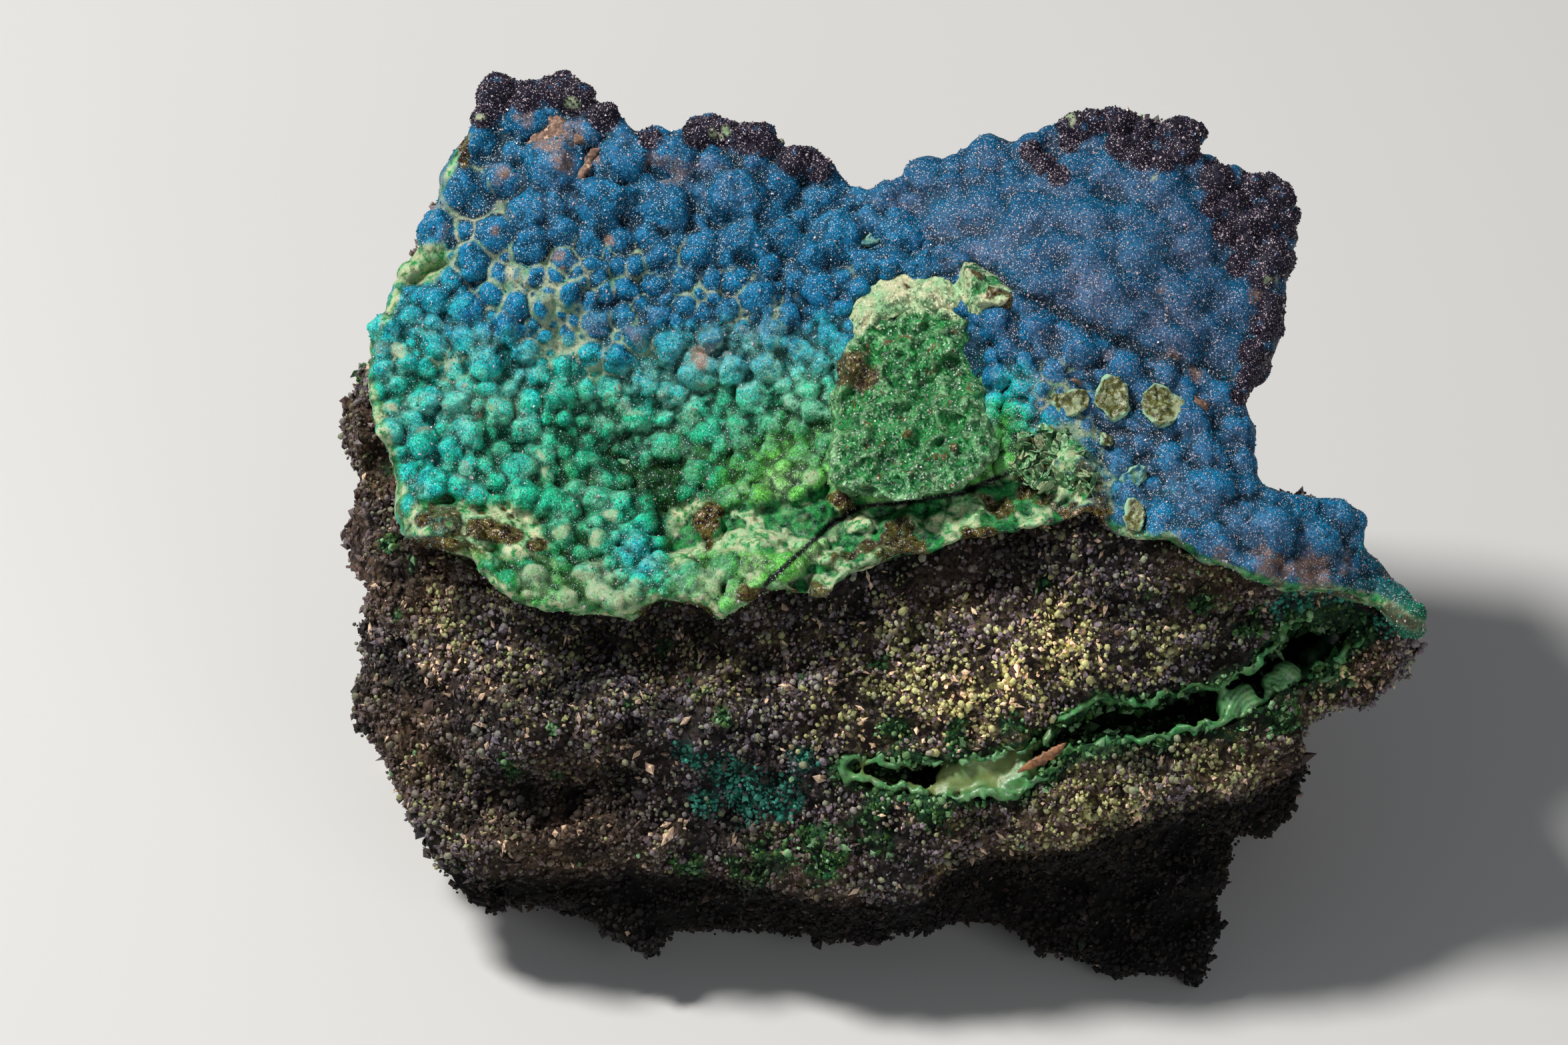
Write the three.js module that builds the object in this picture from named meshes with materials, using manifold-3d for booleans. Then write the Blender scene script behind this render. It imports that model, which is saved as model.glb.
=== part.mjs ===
// Cornetite on matrix: a botryoidal blue to green crust on a broken, granular rock.
// Millimetres, +Z up. The origin lies on the ground under the middle of the specimen.
import * as THREE from "three";
import { mergeVertices } from "three/addons/utils/BufferGeometryUtils.js";
import Module from "manifold-3d";

const wasm = await Module();
wasm.setup();

// ---------------------------------------------------------------- driving dimensions

const FACE_WIDTH = 84; // span of the leaned face, a little over the specimen's own 80.7
const FACE_HEIGHT = 74;
const FACE_LEAN = THREE.MathUtils.degToRad(50); // the face leans back this far from upright
const FACE_CENTRE_HEIGHT = 24; // the face's middle stands this far above the ground
const CELL = 3.3; // step of the surface grids
const BEHIND = -46; // how far behind the face the rock is first made, before it is cut
const IN_FRONT = 40;

const CRUST_THICKNESS = 2.6;
const RIM_BULGE = 0.6; // how much thicker the crust is along its front rim
const FIT_GAP = 0.3; // between two pieces that touch
const TOP_SLOPE = 0.43; // how fast the top of the rock falls away from its front rim
const RIM_HEIGHT = 18; // the rock's height on the face where its top meets the front
const FACE_HEIGHT_ABOVE = 17; // the same for the broken front below the rim
const LEDGE_STEP = 6; // the undercut below the ledge goes back this far
const SEAM_DEPTH = 15;
const RIDGE_RISE = 2.2; // the green slab stands this far above the crust's general slope

// ---------------------------------------------------------------- outlines on the face (across, up)

const ROCK_OUTLINE = [
  [-32.8, 26], [-31, 28.5], [-29.5, 32.2], [-24, 32.6], [-21, 30.4], [-17, 28.4], [-10, 29],
  [-7, 27.2], [-3, 23.8], [0.5, 24.4], [6, 26.4], [12, 28], [15, 30.2], [21, 29.2], [23, 26],
  [28.4, 25.4], [29.4, 21.7], [28.4, 15], [26.8, 11], [25.2, 8.8], [26.2, 5], [27.2, 1.4],
  [33, 0.4], [34, -2.6], [36.4, -5], [38.6, -7.8], [38.7, -9.6], [36.2, -12.1], [34.2, -13.8],
  [31.9, -14], [30.9, -16.6], [31.4, -18.3], [30.4, -22.3], [27.9, -23.9], [25.7, -22.9],
  [25.4, -25.3], [24.1, -28.3], [24.2, -30.8], [23.2, -35.1], [21.7, -33.7], [17.2, -33.9],
  [14.7, -32.3], [10.2, -30.6], [5.2, -30.1], [-1.8, -30.8], [-9.3, -30.6], [-16.6, -30.7],
  [-17.6, -32.9], [-20.3, -32], [-22.6, -29.6], [-24.6, -27.8], [-30.1, -28.7], [-31.8, -27.1],
  [-34.3, -25.1], [-34.8, -23.6], [-36.5, -22.6], [-37.9, -19.3], [-39, -15.1], [-39.7, -11.3],
  [-40, -8.3], [-39.3, -4.3], [-40.1, 0.2], [-40.6, 6.7], [-39.8, 9.7], [-38, 13], [-36, 18],
];

// The crust's far edge, from the left end of the front rim over the top to the right tip.
const CRUST_FAR_EDGE = [
  [-39, 11.2], [-38.7, 13.2], [-37.4, 16.7], [-35.8, 20.4], [-34, 24.2], [-33, 27], [-31.6, 29.2],
  [-30.6, 32.8], [-26.2, 33.2], [-24, 34], [-22.8, 31.8], [-19.4, 29.4], [-15.4, 29.4],
  [-14.4, 30.4], [-9.8, 30], [-8.6, 28.2], [-6, 28], [-3.2, 25], [-1.6, 24.8], [1, 25.6],
  [4.7, 27.2], [11.6, 29.2], [13.6, 31], [16.4, 30.8], [19.9, 29.8], [22.4, 30], [23.6, 26.8],
  [28.6, 26.2], [30.4, 24.8], [30.2, 21.7], [29.3, 17], [28.9, 14.2], [27.8, 11.2], [26, 9.2],
  [27, 7], [26.8, 4.7], [27.6, 2.4], [30.7, 1.4], [33.4, 1.4], [35, 0.4], [35, -2.3], [37, -4],
  [39.5, -6.4], [39.8, -7.8],
];

// The crust's front rim, from the left end to the right tip: it hangs over the broken face.
const CRUST_FRONT_RIM = [
  [-39, 10.7], [-38.2, 7], [-36.8, 4.6], [-36.9, 1.2], [-36, -1], [-33.6, -2], [-31.6, -2.6],
  [-29.6, -4.8], [-26.6, -6.4], [-22, -6.8], [-19.4, -7.2], [-17.2, -5.8], [-14, -5.8],
  [-12.6, -7.2], [-9.4, -5], [-5.4, -5.4], [-3.6, -3.8], [0, -2.4], [3, -2.2], [6.8, -0.8],
  [12.8, 0.2], [14.2, 1], [16.4, -0.7], [20.8, -1.5], [23.6, -3], [26, -4], [28.4, -4.8],
  [31.2, -5], [34.2, -5.4], [36.8, -6.2], [38.8, -7.8],
];

const RIDGE_OUTLINE = [
  [-2.2, 15.6], [0.4, 17.2], [4.6, 17.4], [5.6, 15.8], [8.6, 12], [7, 9.2], [7.8, 4.8],
  [5.2, 2.6], [0.4, 1.4], [-2.4, 2], [-4.6, 3], [-4.4, 9.4], [-3.4, 12.6],
];

// The seam's mouth: a low slot that widens into the hollow behind the right tip.
const SEAM_LOWER_LIP = [
  [-4, -18.6], [-2, -19.3], [3.2, -20.2], [9.4, -20.1], [13, -17.4], [17.2, -16.3], [22.2, -15.2],
  [25.8, -14.3], [28, -13.2], [31.2, -11.4], [33.6, -9.8], [35.6, -8.6],
];
const SEAM_UPPER_LIP = [
  [35, -7.2], [32.4, -6.8], [29.6, -7.4], [28, -9.6], [26.6, -11.2], [23.2, -12.6], [19.2, -13.4],
  [15.2, -13.4], [12.6, -15.2], [9.6, -17], [5.2, -18], [-2, -17.8],
];

// How high on the face the ledge under the seam ends, going across.
const LEDGE_EDGE = [
  [-42, -26], [-17, -25.2], [-11, -25.8], [-4, -27.6], [2, -27.4], [5, -24.4], [10, -23.8],
  [14, -23.3], [18, -21.4], [25, -19.8], [28, -19.2], [31, -17], [42, -16],
];

// Broad hills (rise over 0) and hollows (under 0) of the whole body.
const BODY_FORMS = [
  { name: "bowl", at: [-17, 3], size: [11, 8], rise: -4.6 },
  { name: "bowl's left arm", at: [-28, 9], size: [7, 6], rise: -1.6 },
  { name: "far left swell", at: [-24, 25], size: [9, 8], rise: 2 },
  { name: "saddle", at: [-1, 21], size: [5, 6], rise: -1.6 },
  { name: "right dome", at: [14, 20], size: [12, 7], rise: 4.6 },
  { name: "dome's right shoulder", at: [26, 16], size: [4, 9], rise: -1.6 },
  { name: "second lobe", at: [16, 9], size: [9, 5], rise: 2.8 },
  { name: "front right lobe", at: [24, 0], size: [9, 4.5], rise: 2.6 },
  { name: "front lip", at: [-9, -1], size: [6, 4], rise: 2 },
  { name: "right tip's drop", at: [37, -4], size: [4, 3], rise: -3 },
  { name: "recess under the rim", at: [-19, -9.2], size: [8, 2], rise: -3 },
  { name: "swell of the front", at: [8, -10], size: [13, 5], rise: 1.4 },
  { name: "low recess at the left", at: [-25, -20.6], size: [5.5, 2.4], rise: -4.2 },
  { name: "vuggy hollow", at: [-11, -21.4], size: [3.4, 2.4], rise: -2.2 },
  { name: "ledge", at: [12, -21], size: [15, 2.6], rise: 1.6 },
];

// The broken sides: each cut takes away what lies beyond a plane (a point on it, its outward normal).
const FRACTURES = [
  { name: "ground", at: [0, 0, 0], out: [0, 0, -1] },
  { name: "back, left half", at: [-12, 23, 24], out: [-0.14, 0.99, -0.05] },
  { name: "back, right half", at: [16, 22.4, 22], out: [0.2, 0.97, -0.12] },
  { name: "back, low", at: [0, 20.5, 8], out: [0.04, 0.86, -0.5] },
  { name: "back left corner", at: [-34, 17, 20], out: [-0.72, 0.66, -0.2] },
  { name: "left, low", at: [-34, 10, 8], out: [-0.8, 0.52, -0.3] },
  { name: "back right corner", at: [29, 16, 22], out: [0.72, 0.66, -0.18] },
  { name: "right, low", at: [30, 2, 10], out: [0.78, 0.52, -0.34] },
];

// Single large lumps of the crust: place on the face and radius.
const LARGE_LUMPS = [
  [-19.8, 27.2, 1.9], [-16.3, 26.7, 2.2], [-12.3, 24.7, 2.3], [-29.8, 22.7, 1.7], [-31.8, 18.7, 1.9],
  [-31.3, 16.2, 1.7], [-18.8, 7.7, 1.6], [-21.8, 7.2, 1.4], [-16.8, 5.2, 1.6], [-13.8, 11.2, 1.9],
  [-24.3, -1.1, 1.3], [-22, -1.2, 1.4], [-18.3, -1.6, 1.3], [-20.6, -2.6, 1.2], [-18.6, -4.3, 1.2],
  [-25.8, 5, 1.1], [-30, -0.6, 2], [-34.6, 0.6, 1.3], [-26.8, -1.4, 1.2], [-29.3, 8.7, 1.6],
  [-33, 7, 1.7], [-9.8, 15.6, 1.8], [-5.4, 17.4, 1.8], [-8, 20.6, 1.8], [-2.8, 19.6, 1.6],
  [31.5, -1.6, 1.9], [28, -0.4, 2], [23.6, 2.2, 2], [19.2, 3.6, 1.8], [15, 6.6, 1.7],
  [-25, 14.6, 1.7], [-20.6, 17, 1.8], [-15.8, 18.2, 1.9], [-24.4, 19.6, 1.7], [-28, 27.4, 1.8],
];

// Rows of knobs along the crust's far edge: from, to, how many, radius.
const KNOB_ROWS = [
  { from: [-30, 31.4], to: [-24.4, 32.2], count: 4, radius: 1.8 },
  { from: [-23.4, 31], to: [-20.8, 28.6], count: 2, radius: 1.6 },
  { from: [-13.4, 29], to: [-10.2, 28.8], count: 3, radius: 1.8 },
  { from: [-7.6, 27], to: [-4.6, 25.4], count: 2, radius: 1.7 },
  { from: [13, 29.2], to: [16.6, 30], count: 3, radius: 1.8 },
  { from: [19, 28.8], to: [22, 28.8], count: 2, radius: 1.9 },
  { from: [24, 26], to: [29.4, 24.2], count: 3, radius: 1.8 },
  { from: [29, 21], to: [28, 14], count: 3, radius: 1.7 },
];

const LUMP_SIDES = 7; // facets round a lump, and bands from its foot to its top
const LUMP_BANDS = 4;

// The seam's lining: strings of round lumps along its lips (from, to, how many, radius, how far in).
const LINING_ROWS = [
  { from: [3.6, -19.2], to: [10.4, -18.2], count: 4, radius: 1.8, inward: 1.6 },
  { from: [12.4, -16.6], to: [24.4, -13.6], count: 6, radius: 1.6, inward: 2.2 },
  { from: [26.4, -12.6], to: [29.2, -11.2], count: 2, radius: 2, inward: 1.6 },
  { from: [31.2, -10.2], to: [33.4, -8.8], count: 2, radius: 1.9, inward: 1.8 },
];

// ---------------------------------------------------------------- number helpers

const clamp = THREE.MathUtils.clamp;
const smooth = (t) => THREE.MathUtils.smoothstep(t, 0, 1);

// A value read off a line of points [x, value].
function along(line, x) {
  const last = line.length - 1;
  const next = clamp(line.findIndex((point) => point[0] > x), 1, last);
  const [x0, y0] = line[x > line[last][0] ? last - 1 : next - 1];
  const [x1, y1] = line[x > line[last][0] ? last : next];
  return y0 + (y1 - y0) * clamp((x - x0) / (x1 - x0), 0, 1);
}

// A repeatable run of numbers from 0 to 1.
function numbers(seed) {
  let state = seed;
  return () => {
    state = (Math.imul(state, 1664525) + 1013904223) >>> 0;
    return state / 4294967296;
  };
}

// Smooth noise from -1 to 1 on a lattice of whole numbers.
function noise(x, y) {
  const corner = (i, j) => {
    const wave = Math.sin(i * 127.1 + j * 311.7) * 43758.5453;
    return 2 * (wave - Math.floor(wave)) - 1;
  };
  const i = Math.floor(x);
  const j = Math.floor(y);
  const u = smooth(x - i);
  const v = smooth(y - j);
  const low = corner(i, j) * (1 - u) + corner(i + 1, j) * u;
  const high = corner(i, j + 1) * (1 - u) + corner(i + 1, j + 1) * u;
  return low * (1 - v) + high * v;
}

// ---------------------------------------------------------------- the body's surfaces, as heights on the face

function broadForms(a, b) {
  return BODY_FORMS.reduce((sum, { at, size, rise }) => {
    const u = (a - at[0]) / size[0];
    const v = (b - at[1]) / size[1];
    return sum + rise * Math.exp(-0.5 * (u * u + v * v));
  }, 0);
}

function topPlane(b) {
  return RIM_HEIGHT - TOP_SLOPE * (b + 6.7);
}

// The share of the broken front in the surface: 0 on top, 1 below the rim.
function frontShare(a, b) {
  return smooth((along(CRUST_FRONT_RIM, a) - b + 1) / 2.5);
}

function bodyHeight(a, b) {
  const rim = along(CRUST_FRONT_RIM, a);
  const leftTurn = smooth((-26 - a) / 15);
  const rightTurn = smooth((a - 22) / 18);
  const top = topPlane(b) - 2.5 * leftTurn - 2 * rightTurn;
  const below = rim - b;
  const belowLedge = smooth((along(LEDGE_EDGE, a) - b) / 2);
  const front =
    FACE_HEIGHT_ABOVE - 8 * leftTurn - 6 * rightTurn - 0.12 * below - LEDGE_STEP * belowLedge;
  const share = frontShare(a, b);
  return top * (1 - share) + front * share + broadForms(a, b);
}

function rockHeight(a, b) {
  const rough = 0.7 * noise(a / 3.1, b / 3.1) + 0.5 * noise(a / 1.7 + 9, b / 1.7);
  return bodyHeight(a, b) + rough * frontShare(a, b);
}

function crustHeight(a, b) {
  const bulge = RIM_BULGE * (1 - smooth((b - along(CRUST_FRONT_RIM, a)) / 4));
  const swell = 0.5 * noise(a / 3.4 + 5, b / 3.4 + 2);
  return rockHeight(a, b) + CRUST_THICKNESS + bulge + swell;
}

function ridgeHeight(a, b) {
  const broken = 0.5 * noise(a / 2.2 + 3, b / 2.2);
  const tilt = 0.16 * (a - 2) - 0.1 * (b - 9);
  return topPlane(b) + CRUST_THICKNESS + RIDGE_RISE + tilt + broken;
}

// ---------------------------------------------------------------- solids

const face = new THREE.Matrix4()
  .makeRotationX(FACE_LEAN)
  .setPosition(0, 0, FACE_CENTRE_HEIGHT);

function solid(geometry) {
  const bare = new THREE.BufferGeometry();
  bare.setAttribute("position", geometry.getAttribute("position"));
  if (geometry.index) bare.setIndex(geometry.index);
  const merged = mergeVertices(bare, 1e-4);
  return new wasm.Manifold(
    new wasm.Mesh({
      numProp: 3,
      vertProperties: new Float32Array(merged.getAttribute("position").array),
      triVerts: new Uint32Array(merged.index.array),
    }),
  );
}

// A block on the face whose front and back follow two height functions.
function blockBetween(back, front) {
  const across = Math.round(FACE_WIDTH / CELL);
  const up = Math.round(FACE_HEIGHT / CELL);
  const block = new THREE.BoxGeometry(FACE_WIDTH, FACE_HEIGHT, 2, across, up, 1);
  const points = block.getAttribute("position");
  for (let i = 0; i < points.count; i += 1) {
    const height = points.getZ(i) > 0 ? front : back;
    points.setZ(i, height(points.getX(i), points.getY(i)));
  }
  return solid(block.applyMatrix4(face));
}

// A straight-sided plug with an outline on the face.
function plug(outline, from, to) {
  const shape = new THREE.Shape(outline.map(([a, b]) => new THREE.Vector2(a, b)));
  const body = new THREE.ExtrudeGeometry(shape, { depth: to - from, bevelEnabled: false });
  return solid(body.translate(0, 0, from).applyMatrix4(face));
}

function lump(a, b, height, radius) {
  const ball = new THREE.SphereGeometry(radius, LUMP_SIDES, LUMP_BANDS).rotateX(Math.PI / 2);
  return solid(ball.translate(a, b, height).applyMatrix4(face));
}

function beyond({ at, out }) {
  const size = 160;
  const slab = new THREE.BoxGeometry(size, size, size).translate(0, 0, size / 2);
  const normal = new THREE.Vector3(...out).normalize();
  slab.applyQuaternion(new THREE.Quaternion().setFromUnitVectors(new THREE.Vector3(0, 0, 1), normal));
  return solid(slab.translate(...at));
}

// The outline moved outward (or inward, under 0) by an equal distance.
function grown(outline, by) {
  const count = outline.length;
  const turn = Math.sign(THREE.ShapeUtils.area(outline.map(([x, y]) => new THREE.Vector2(x, y))));
  return outline.map((point, i) => {
    const before = outline[(i + count - 1) % count];
    const after = outline[(i + 1) % count];
    const way = new THREE.Vector2(after[1] - before[1], before[0] - after[0]).normalize();
    return [point[0] + turn * by * way.x, point[1] + turn * by * way.y];
  });
}

function spaced({ from, to, count }) {
  return Array.from({ length: count }, (_, i) => {
    const share = count > 1 ? i / (count - 1) : 0;
    return [from[0] + (to[0] - from[0]) * share, from[1] + (to[1] - from[1]) * share];
  });
}

// ---------------------------------------------------------------- the pieces

const SEAM_OUTLINE = [...SEAM_LOWER_LIP, ...SEAM_UPPER_LIP];
const CRUST_OUTLINE = [...CRUST_FAR_EDGE, ...[...CRUST_FRONT_RIM].reverse()];
const fractures = FRACTURES.map(beyond);

function broken(body) {
  return fractures.reduce((rest, cut) => rest.subtract(cut), body);
}

function seamHollow(shrink) {
  const middle = ([a, b]) => bodyHeight(a, b);
  const deepest = Math.min(...SEAM_OUTLINE.map(middle)) - SEAM_DEPTH / 2;
  return plug(grown(SEAM_OUTLINE, -shrink), deepest + shrink, IN_FRONT);
}

function makeMatrix() {
  const block = blockBetween(() => BEHIND, rockHeight);
  const outlined = block.intersect(plug(ROCK_OUTLINE, BEHIND - 1, IN_FRONT));
  return broken(outlined.subtract(seamHollow(0)));
}

function lumpPlaces() {
  const places = LARGE_LUMPS.map(([a, b, radius]) => ({ a, b, radius }));
  KNOB_ROWS.forEach((row, index) => {
    const next = numbers(index + 1);
    spaced(row).forEach(([a, b]) => {
      const radius = row.radius * (0.8 + 0.4 * next());
      places.push({ a: a + 0.6 * (next() - 0.5), b: b + 0.8 * (next() - 0.5), radius });
    });
  });
  return places;
}

function makeCrust() {
  const underside = (a, b) => rockHeight(a, b) + FIT_GAP;
  const sheet = blockBetween(underside, crustHeight).intersect(plug(CRUST_OUTLINE, BEHIND, IN_FRONT));
  const lumps = lumpPlaces().map(({ a, b, radius }) =>
    lump(a, b, crustHeight(a, b) - 0.25 * radius, radius),
  );
  const grownTogether = lumps.reduce((body, one) => body.add(one), sheet);
  const rock = blockBetween(() => BEHIND, underside);
  const ridgeHole = plug(grown(RIDGE_OUTLINE, FIT_GAP), BEHIND, IN_FRONT);
  return broken(grownTogether.subtract(rock).subtract(ridgeHole));
}

function makeRidge() {
  const slab = blockBetween((a, b) => rockHeight(a, b) + FIT_GAP, ridgeHeight);
  return slab.intersect(plug(RIDGE_OUTLINE, BEHIND, IN_FRONT));
}

function makeSeamLining() {
  const lumps = LINING_ROWS.flatMap((row) =>
    spaced(row).map(([a, b]) => lump(a, b, bodyHeight(a, b) - row.inward, row.radius)),
  );
  const string = lumps.reduce((body, one) => body.add(one));
  return string.intersect(seamHollow(FIT_GAP));
}

// ---------------------------------------------------------------- the scene graph

const PIECES = [
  { name: "matrix", make: makeMatrix, color: 0x54463f, roughness: 0.85, metalness: 0 },
  { name: "cornetite_crust", make: makeCrust, color: 0x20639a, roughness: 0.55, metalness: 0 },
  { name: "malachite_ridge", make: makeRidge, color: 0x4b9a63, roughness: 0.5, metalness: 0 },
  { name: "seam_malachite", make: makeSeamLining, color: 0x5f8f4c, roughness: 0.5, metalness: 0 },
];

// Only the largest body is kept: a cut can leave crumbs no bigger than a grain.
function largest(body) {
  return body.decompose().sort((one, other) => other.volume() - one.volume())[0];
}

function meshOf({ name, make, color, roughness, metalness }) {
  const made = largest(make()).getMesh();
  const geometry = new THREE.BufferGeometry();
  geometry.setAttribute("position", new THREE.BufferAttribute(made.vertProperties, 3));
  geometry.setIndex(new THREE.BufferAttribute(made.triVerts, 1));
  geometry.computeVertexNormals();
  const mesh = new THREE.Mesh(
    geometry,
    new THREE.MeshStandardMaterial({ color, roughness, metalness, flatShading: true }),
  );
  mesh.name = name;
  return mesh;
}

const specimen = new THREE.Group();
specimen.name = "cornetite_on_matrix";
PIECES.forEach((piece) => specimen.add(meshOf(piece)));

// The origin is moved to the middle of the specimen's own box, on the ground.
const box = new THREE.Box3().setFromObject(specimen);
specimen.position.set(-(box.min.x + box.max.x) / 2, -(box.min.y + box.max.y) / 2, 0);

export default specimen;
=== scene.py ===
"""Cornetite on matrix: the finish of a mineral specimen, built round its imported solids."""

import math

import bmesh
import bpy
import numpy as np
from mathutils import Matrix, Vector


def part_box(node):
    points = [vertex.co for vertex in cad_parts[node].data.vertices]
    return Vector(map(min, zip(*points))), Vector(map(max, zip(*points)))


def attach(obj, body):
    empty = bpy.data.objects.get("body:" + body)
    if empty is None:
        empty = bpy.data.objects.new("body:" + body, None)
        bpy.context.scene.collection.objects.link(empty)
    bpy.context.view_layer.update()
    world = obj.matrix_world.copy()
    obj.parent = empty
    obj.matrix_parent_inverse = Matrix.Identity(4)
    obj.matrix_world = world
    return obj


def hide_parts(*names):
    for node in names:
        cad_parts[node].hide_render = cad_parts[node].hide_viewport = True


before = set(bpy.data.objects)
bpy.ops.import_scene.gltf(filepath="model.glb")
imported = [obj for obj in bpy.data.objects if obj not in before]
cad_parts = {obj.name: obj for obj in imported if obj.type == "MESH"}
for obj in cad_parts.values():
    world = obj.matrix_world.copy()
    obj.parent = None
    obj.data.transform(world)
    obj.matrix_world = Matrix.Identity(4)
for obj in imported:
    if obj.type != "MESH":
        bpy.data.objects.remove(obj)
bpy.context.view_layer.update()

MM = 0.001

bl_info = {
    "name": "Cornetite on matrix",
    "version": (1, 0, 0),
    "blender": (4, 5, 0),
    "location": "View3D > Sidebar > Specimen",
    "description": "Builds a botryoidal cornetite crust, its granular rock and its green seam",
    "category": "Object",
}

# ------------------------------------------------------------------ the specimen's own frame (mm)
# The crust and the broken front lie on a leaned face: a runs across it, b up it and h out of it.

FACE_LEAN = math.radians(50)
FACE_CENTRE_HEIGHT = 24.0
ROCK_LEFT_END = -40.6  # the rock's furthest point to the left, on the face
CRUST_THICKNESS = 2.6
RIM_BULGE = 0.6
TOP_SLOPE = 0.43
RIM_HEIGHT = 18.0
FACE_HEIGHT_ABOVE = 17.0
LEDGE_STEP = 6.0
RIDGE_RISE = 2.2

CRUST_FAR_EDGE = [
    (-39, 11.2), (-38.7, 13.2), (-37.4, 16.7), (-35.8, 20.4), (-34, 24.2), (-33, 27), (-31.6, 29.2),
    (-30.6, 32.8), (-26.2, 33.2), (-24, 34), (-22.8, 31.8), (-19.4, 29.4), (-15.4, 29.4), (-14.4, 30.4),
    (-9.8, 30), (-8.6, 28.2), (-6, 28), (-3.2, 25), (-1.6, 24.8), (1, 25.6), (4.7, 27.2), (11.6, 29.2),
    (13.6, 31), (16.4, 30.8), (19.9, 29.8), (22.4, 30), (23.6, 26.8), (28.6, 26.2), (30.4, 24.8),
    (30.2, 21.7), (29.3, 17), (28.9, 14.2), (27.8, 11.2), (26, 9.2), (27, 7), (26.8, 4.7), (27.6, 2.4),
    (30.7, 1.4), (33.4, 1.4), (35, 0.4), (35, -2.3), (37, -4), (39.5, -6.4), (39.8, -7.8),
]  # fmt: skip
CRUST_FRONT_RIM = [
    (-39, 10.7), (-38.2, 7), (-37.2, 4.6), (-36.9, 1.2), (-36, -1), (-33.6, -2), (-31.6, -2.6),
    (-29.6, -4.8), (-26.6, -6.4), (-22, -6.8), (-19.4, -7.2), (-17.2, -5.8), (-14, -5.8), (-12.6, -7.2),
    (-9.4, -5), (-5.4, -5.4), (-3.6, -3.8), (0, -2.4), (3, -2.2), (6.8, -0.8), (12.8, 0.2), (14.2, 1),
    (16.4, -0.7), (20.8, -1.5), (23.6, -3), (26, -4), (28.4, -4.8), (31.2, -5), (34.2, -5.4),
    (36.8, -6.2), (38.8, -7.8),
]  # fmt: skip
RIDGE_OUTLINE = [
    (-2.2, 15.6), (0.4, 17.2), (4.6, 17.4), (5.6, 15.8), (8.6, 12), (7, 9.2), (7.8, 4.8), (5.2, 2.6),
    (0.4, 1.4), (-2.4, 2), (-4.6, 3), (-4.4, 9.4), (-3.4, 12.6),
]  # fmt: skip
SEAM_LOWER_LIP = [
    (-4, -18.6), (-2, -19.3), (3.2, -20.2), (9.4, -20.1), (13, -17.4), (17.2, -16.3), (22.2, -15.2),
    (25.8, -14.3), (28, -13.2), (31.2, -11.4), (33.6, -9.8), (35.6, -8.6),
]  # fmt: skip
SEAM_UPPER_LIP = [
    (-4, -18.2), (-2, -17.8), (5.2, -18), (9.6, -17), (12.6, -15.2), (15.2, -13.4), (19.2, -13.4),
    (23.2, -12.6), (26.6, -11.2), (28, -9.6), (29.6, -7.4), (32.4, -6.8), (35, -7.2),
]  # fmt: skip
LEDGE_EDGE = [
    (-42, -26), (-17, -25.2), (-11, -25.8), (-4, -27.6), (2, -27.4), (5, -24.4), (10, -23.8), (14, -23.3),
    (18, -21.4), (25, -19.8), (28, -19.2), (31, -17), (42, -16),
]  # fmt: skip

# Seeds of the noises and the random draws, so that each run gives the same pieces.
SEED = {
    "lumps": 23, "sparkle bowl": 101, "sparkle dome": 103, "crust colours": 11, "crust bends": 3,
    "scoops": 31, "cavities": 37, "rock": 7, "rock colours": 19, "front_balls": 83, "front_crystals": 89,
    "side_crystals": 97, "slab": 43, "chip": 47, "flakes": 113, "lining": 61, "lining bends": 67,
    "spots": 71, "spot crumbs": 73, "splinter": 79,
}  # fmt: skip

# Broad hills (rise over 0) and hollows (under 0): place on the face, size, rise.
BODY_FORMS = [
    ((-17, 3), (11, 8), -4.6),  # bowl
    ((-28, 9), (7, 6), -1.6),  # bowl's left arm
    ((-24, 25), (9, 8), 2),  # far left swell
    ((-1, 21), (5, 6), -1.6),  # saddle
    ((14, 20), (12, 7), 4.6),  # right dome
    ((26, 16), (4, 9), -1.6),  # dome's right shoulder
    ((16, 9), (9, 5), 2.8),  # second lobe
    ((24, 0), (9, 4.5), 2.6),  # front right lobe
    ((-9, -1), (6, 4), 2),  # front lip
    ((37, -4), (4, 3), -3),  # right tip's drop
    ((-19, -9.2), (8, 2), -3),  # recess under the rim
    ((8, -10), (13, 5), 1.4),  # swell of the front
    ((-25, -20.6), (5.5, 2.4), -4.2),  # low recess at the left
    ((-11, -21.4), (3.4, 2.4), -2.2),  # vuggy hollow
    ((12, -21), (15, 2.6), 1.6),  # ledge
]

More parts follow.
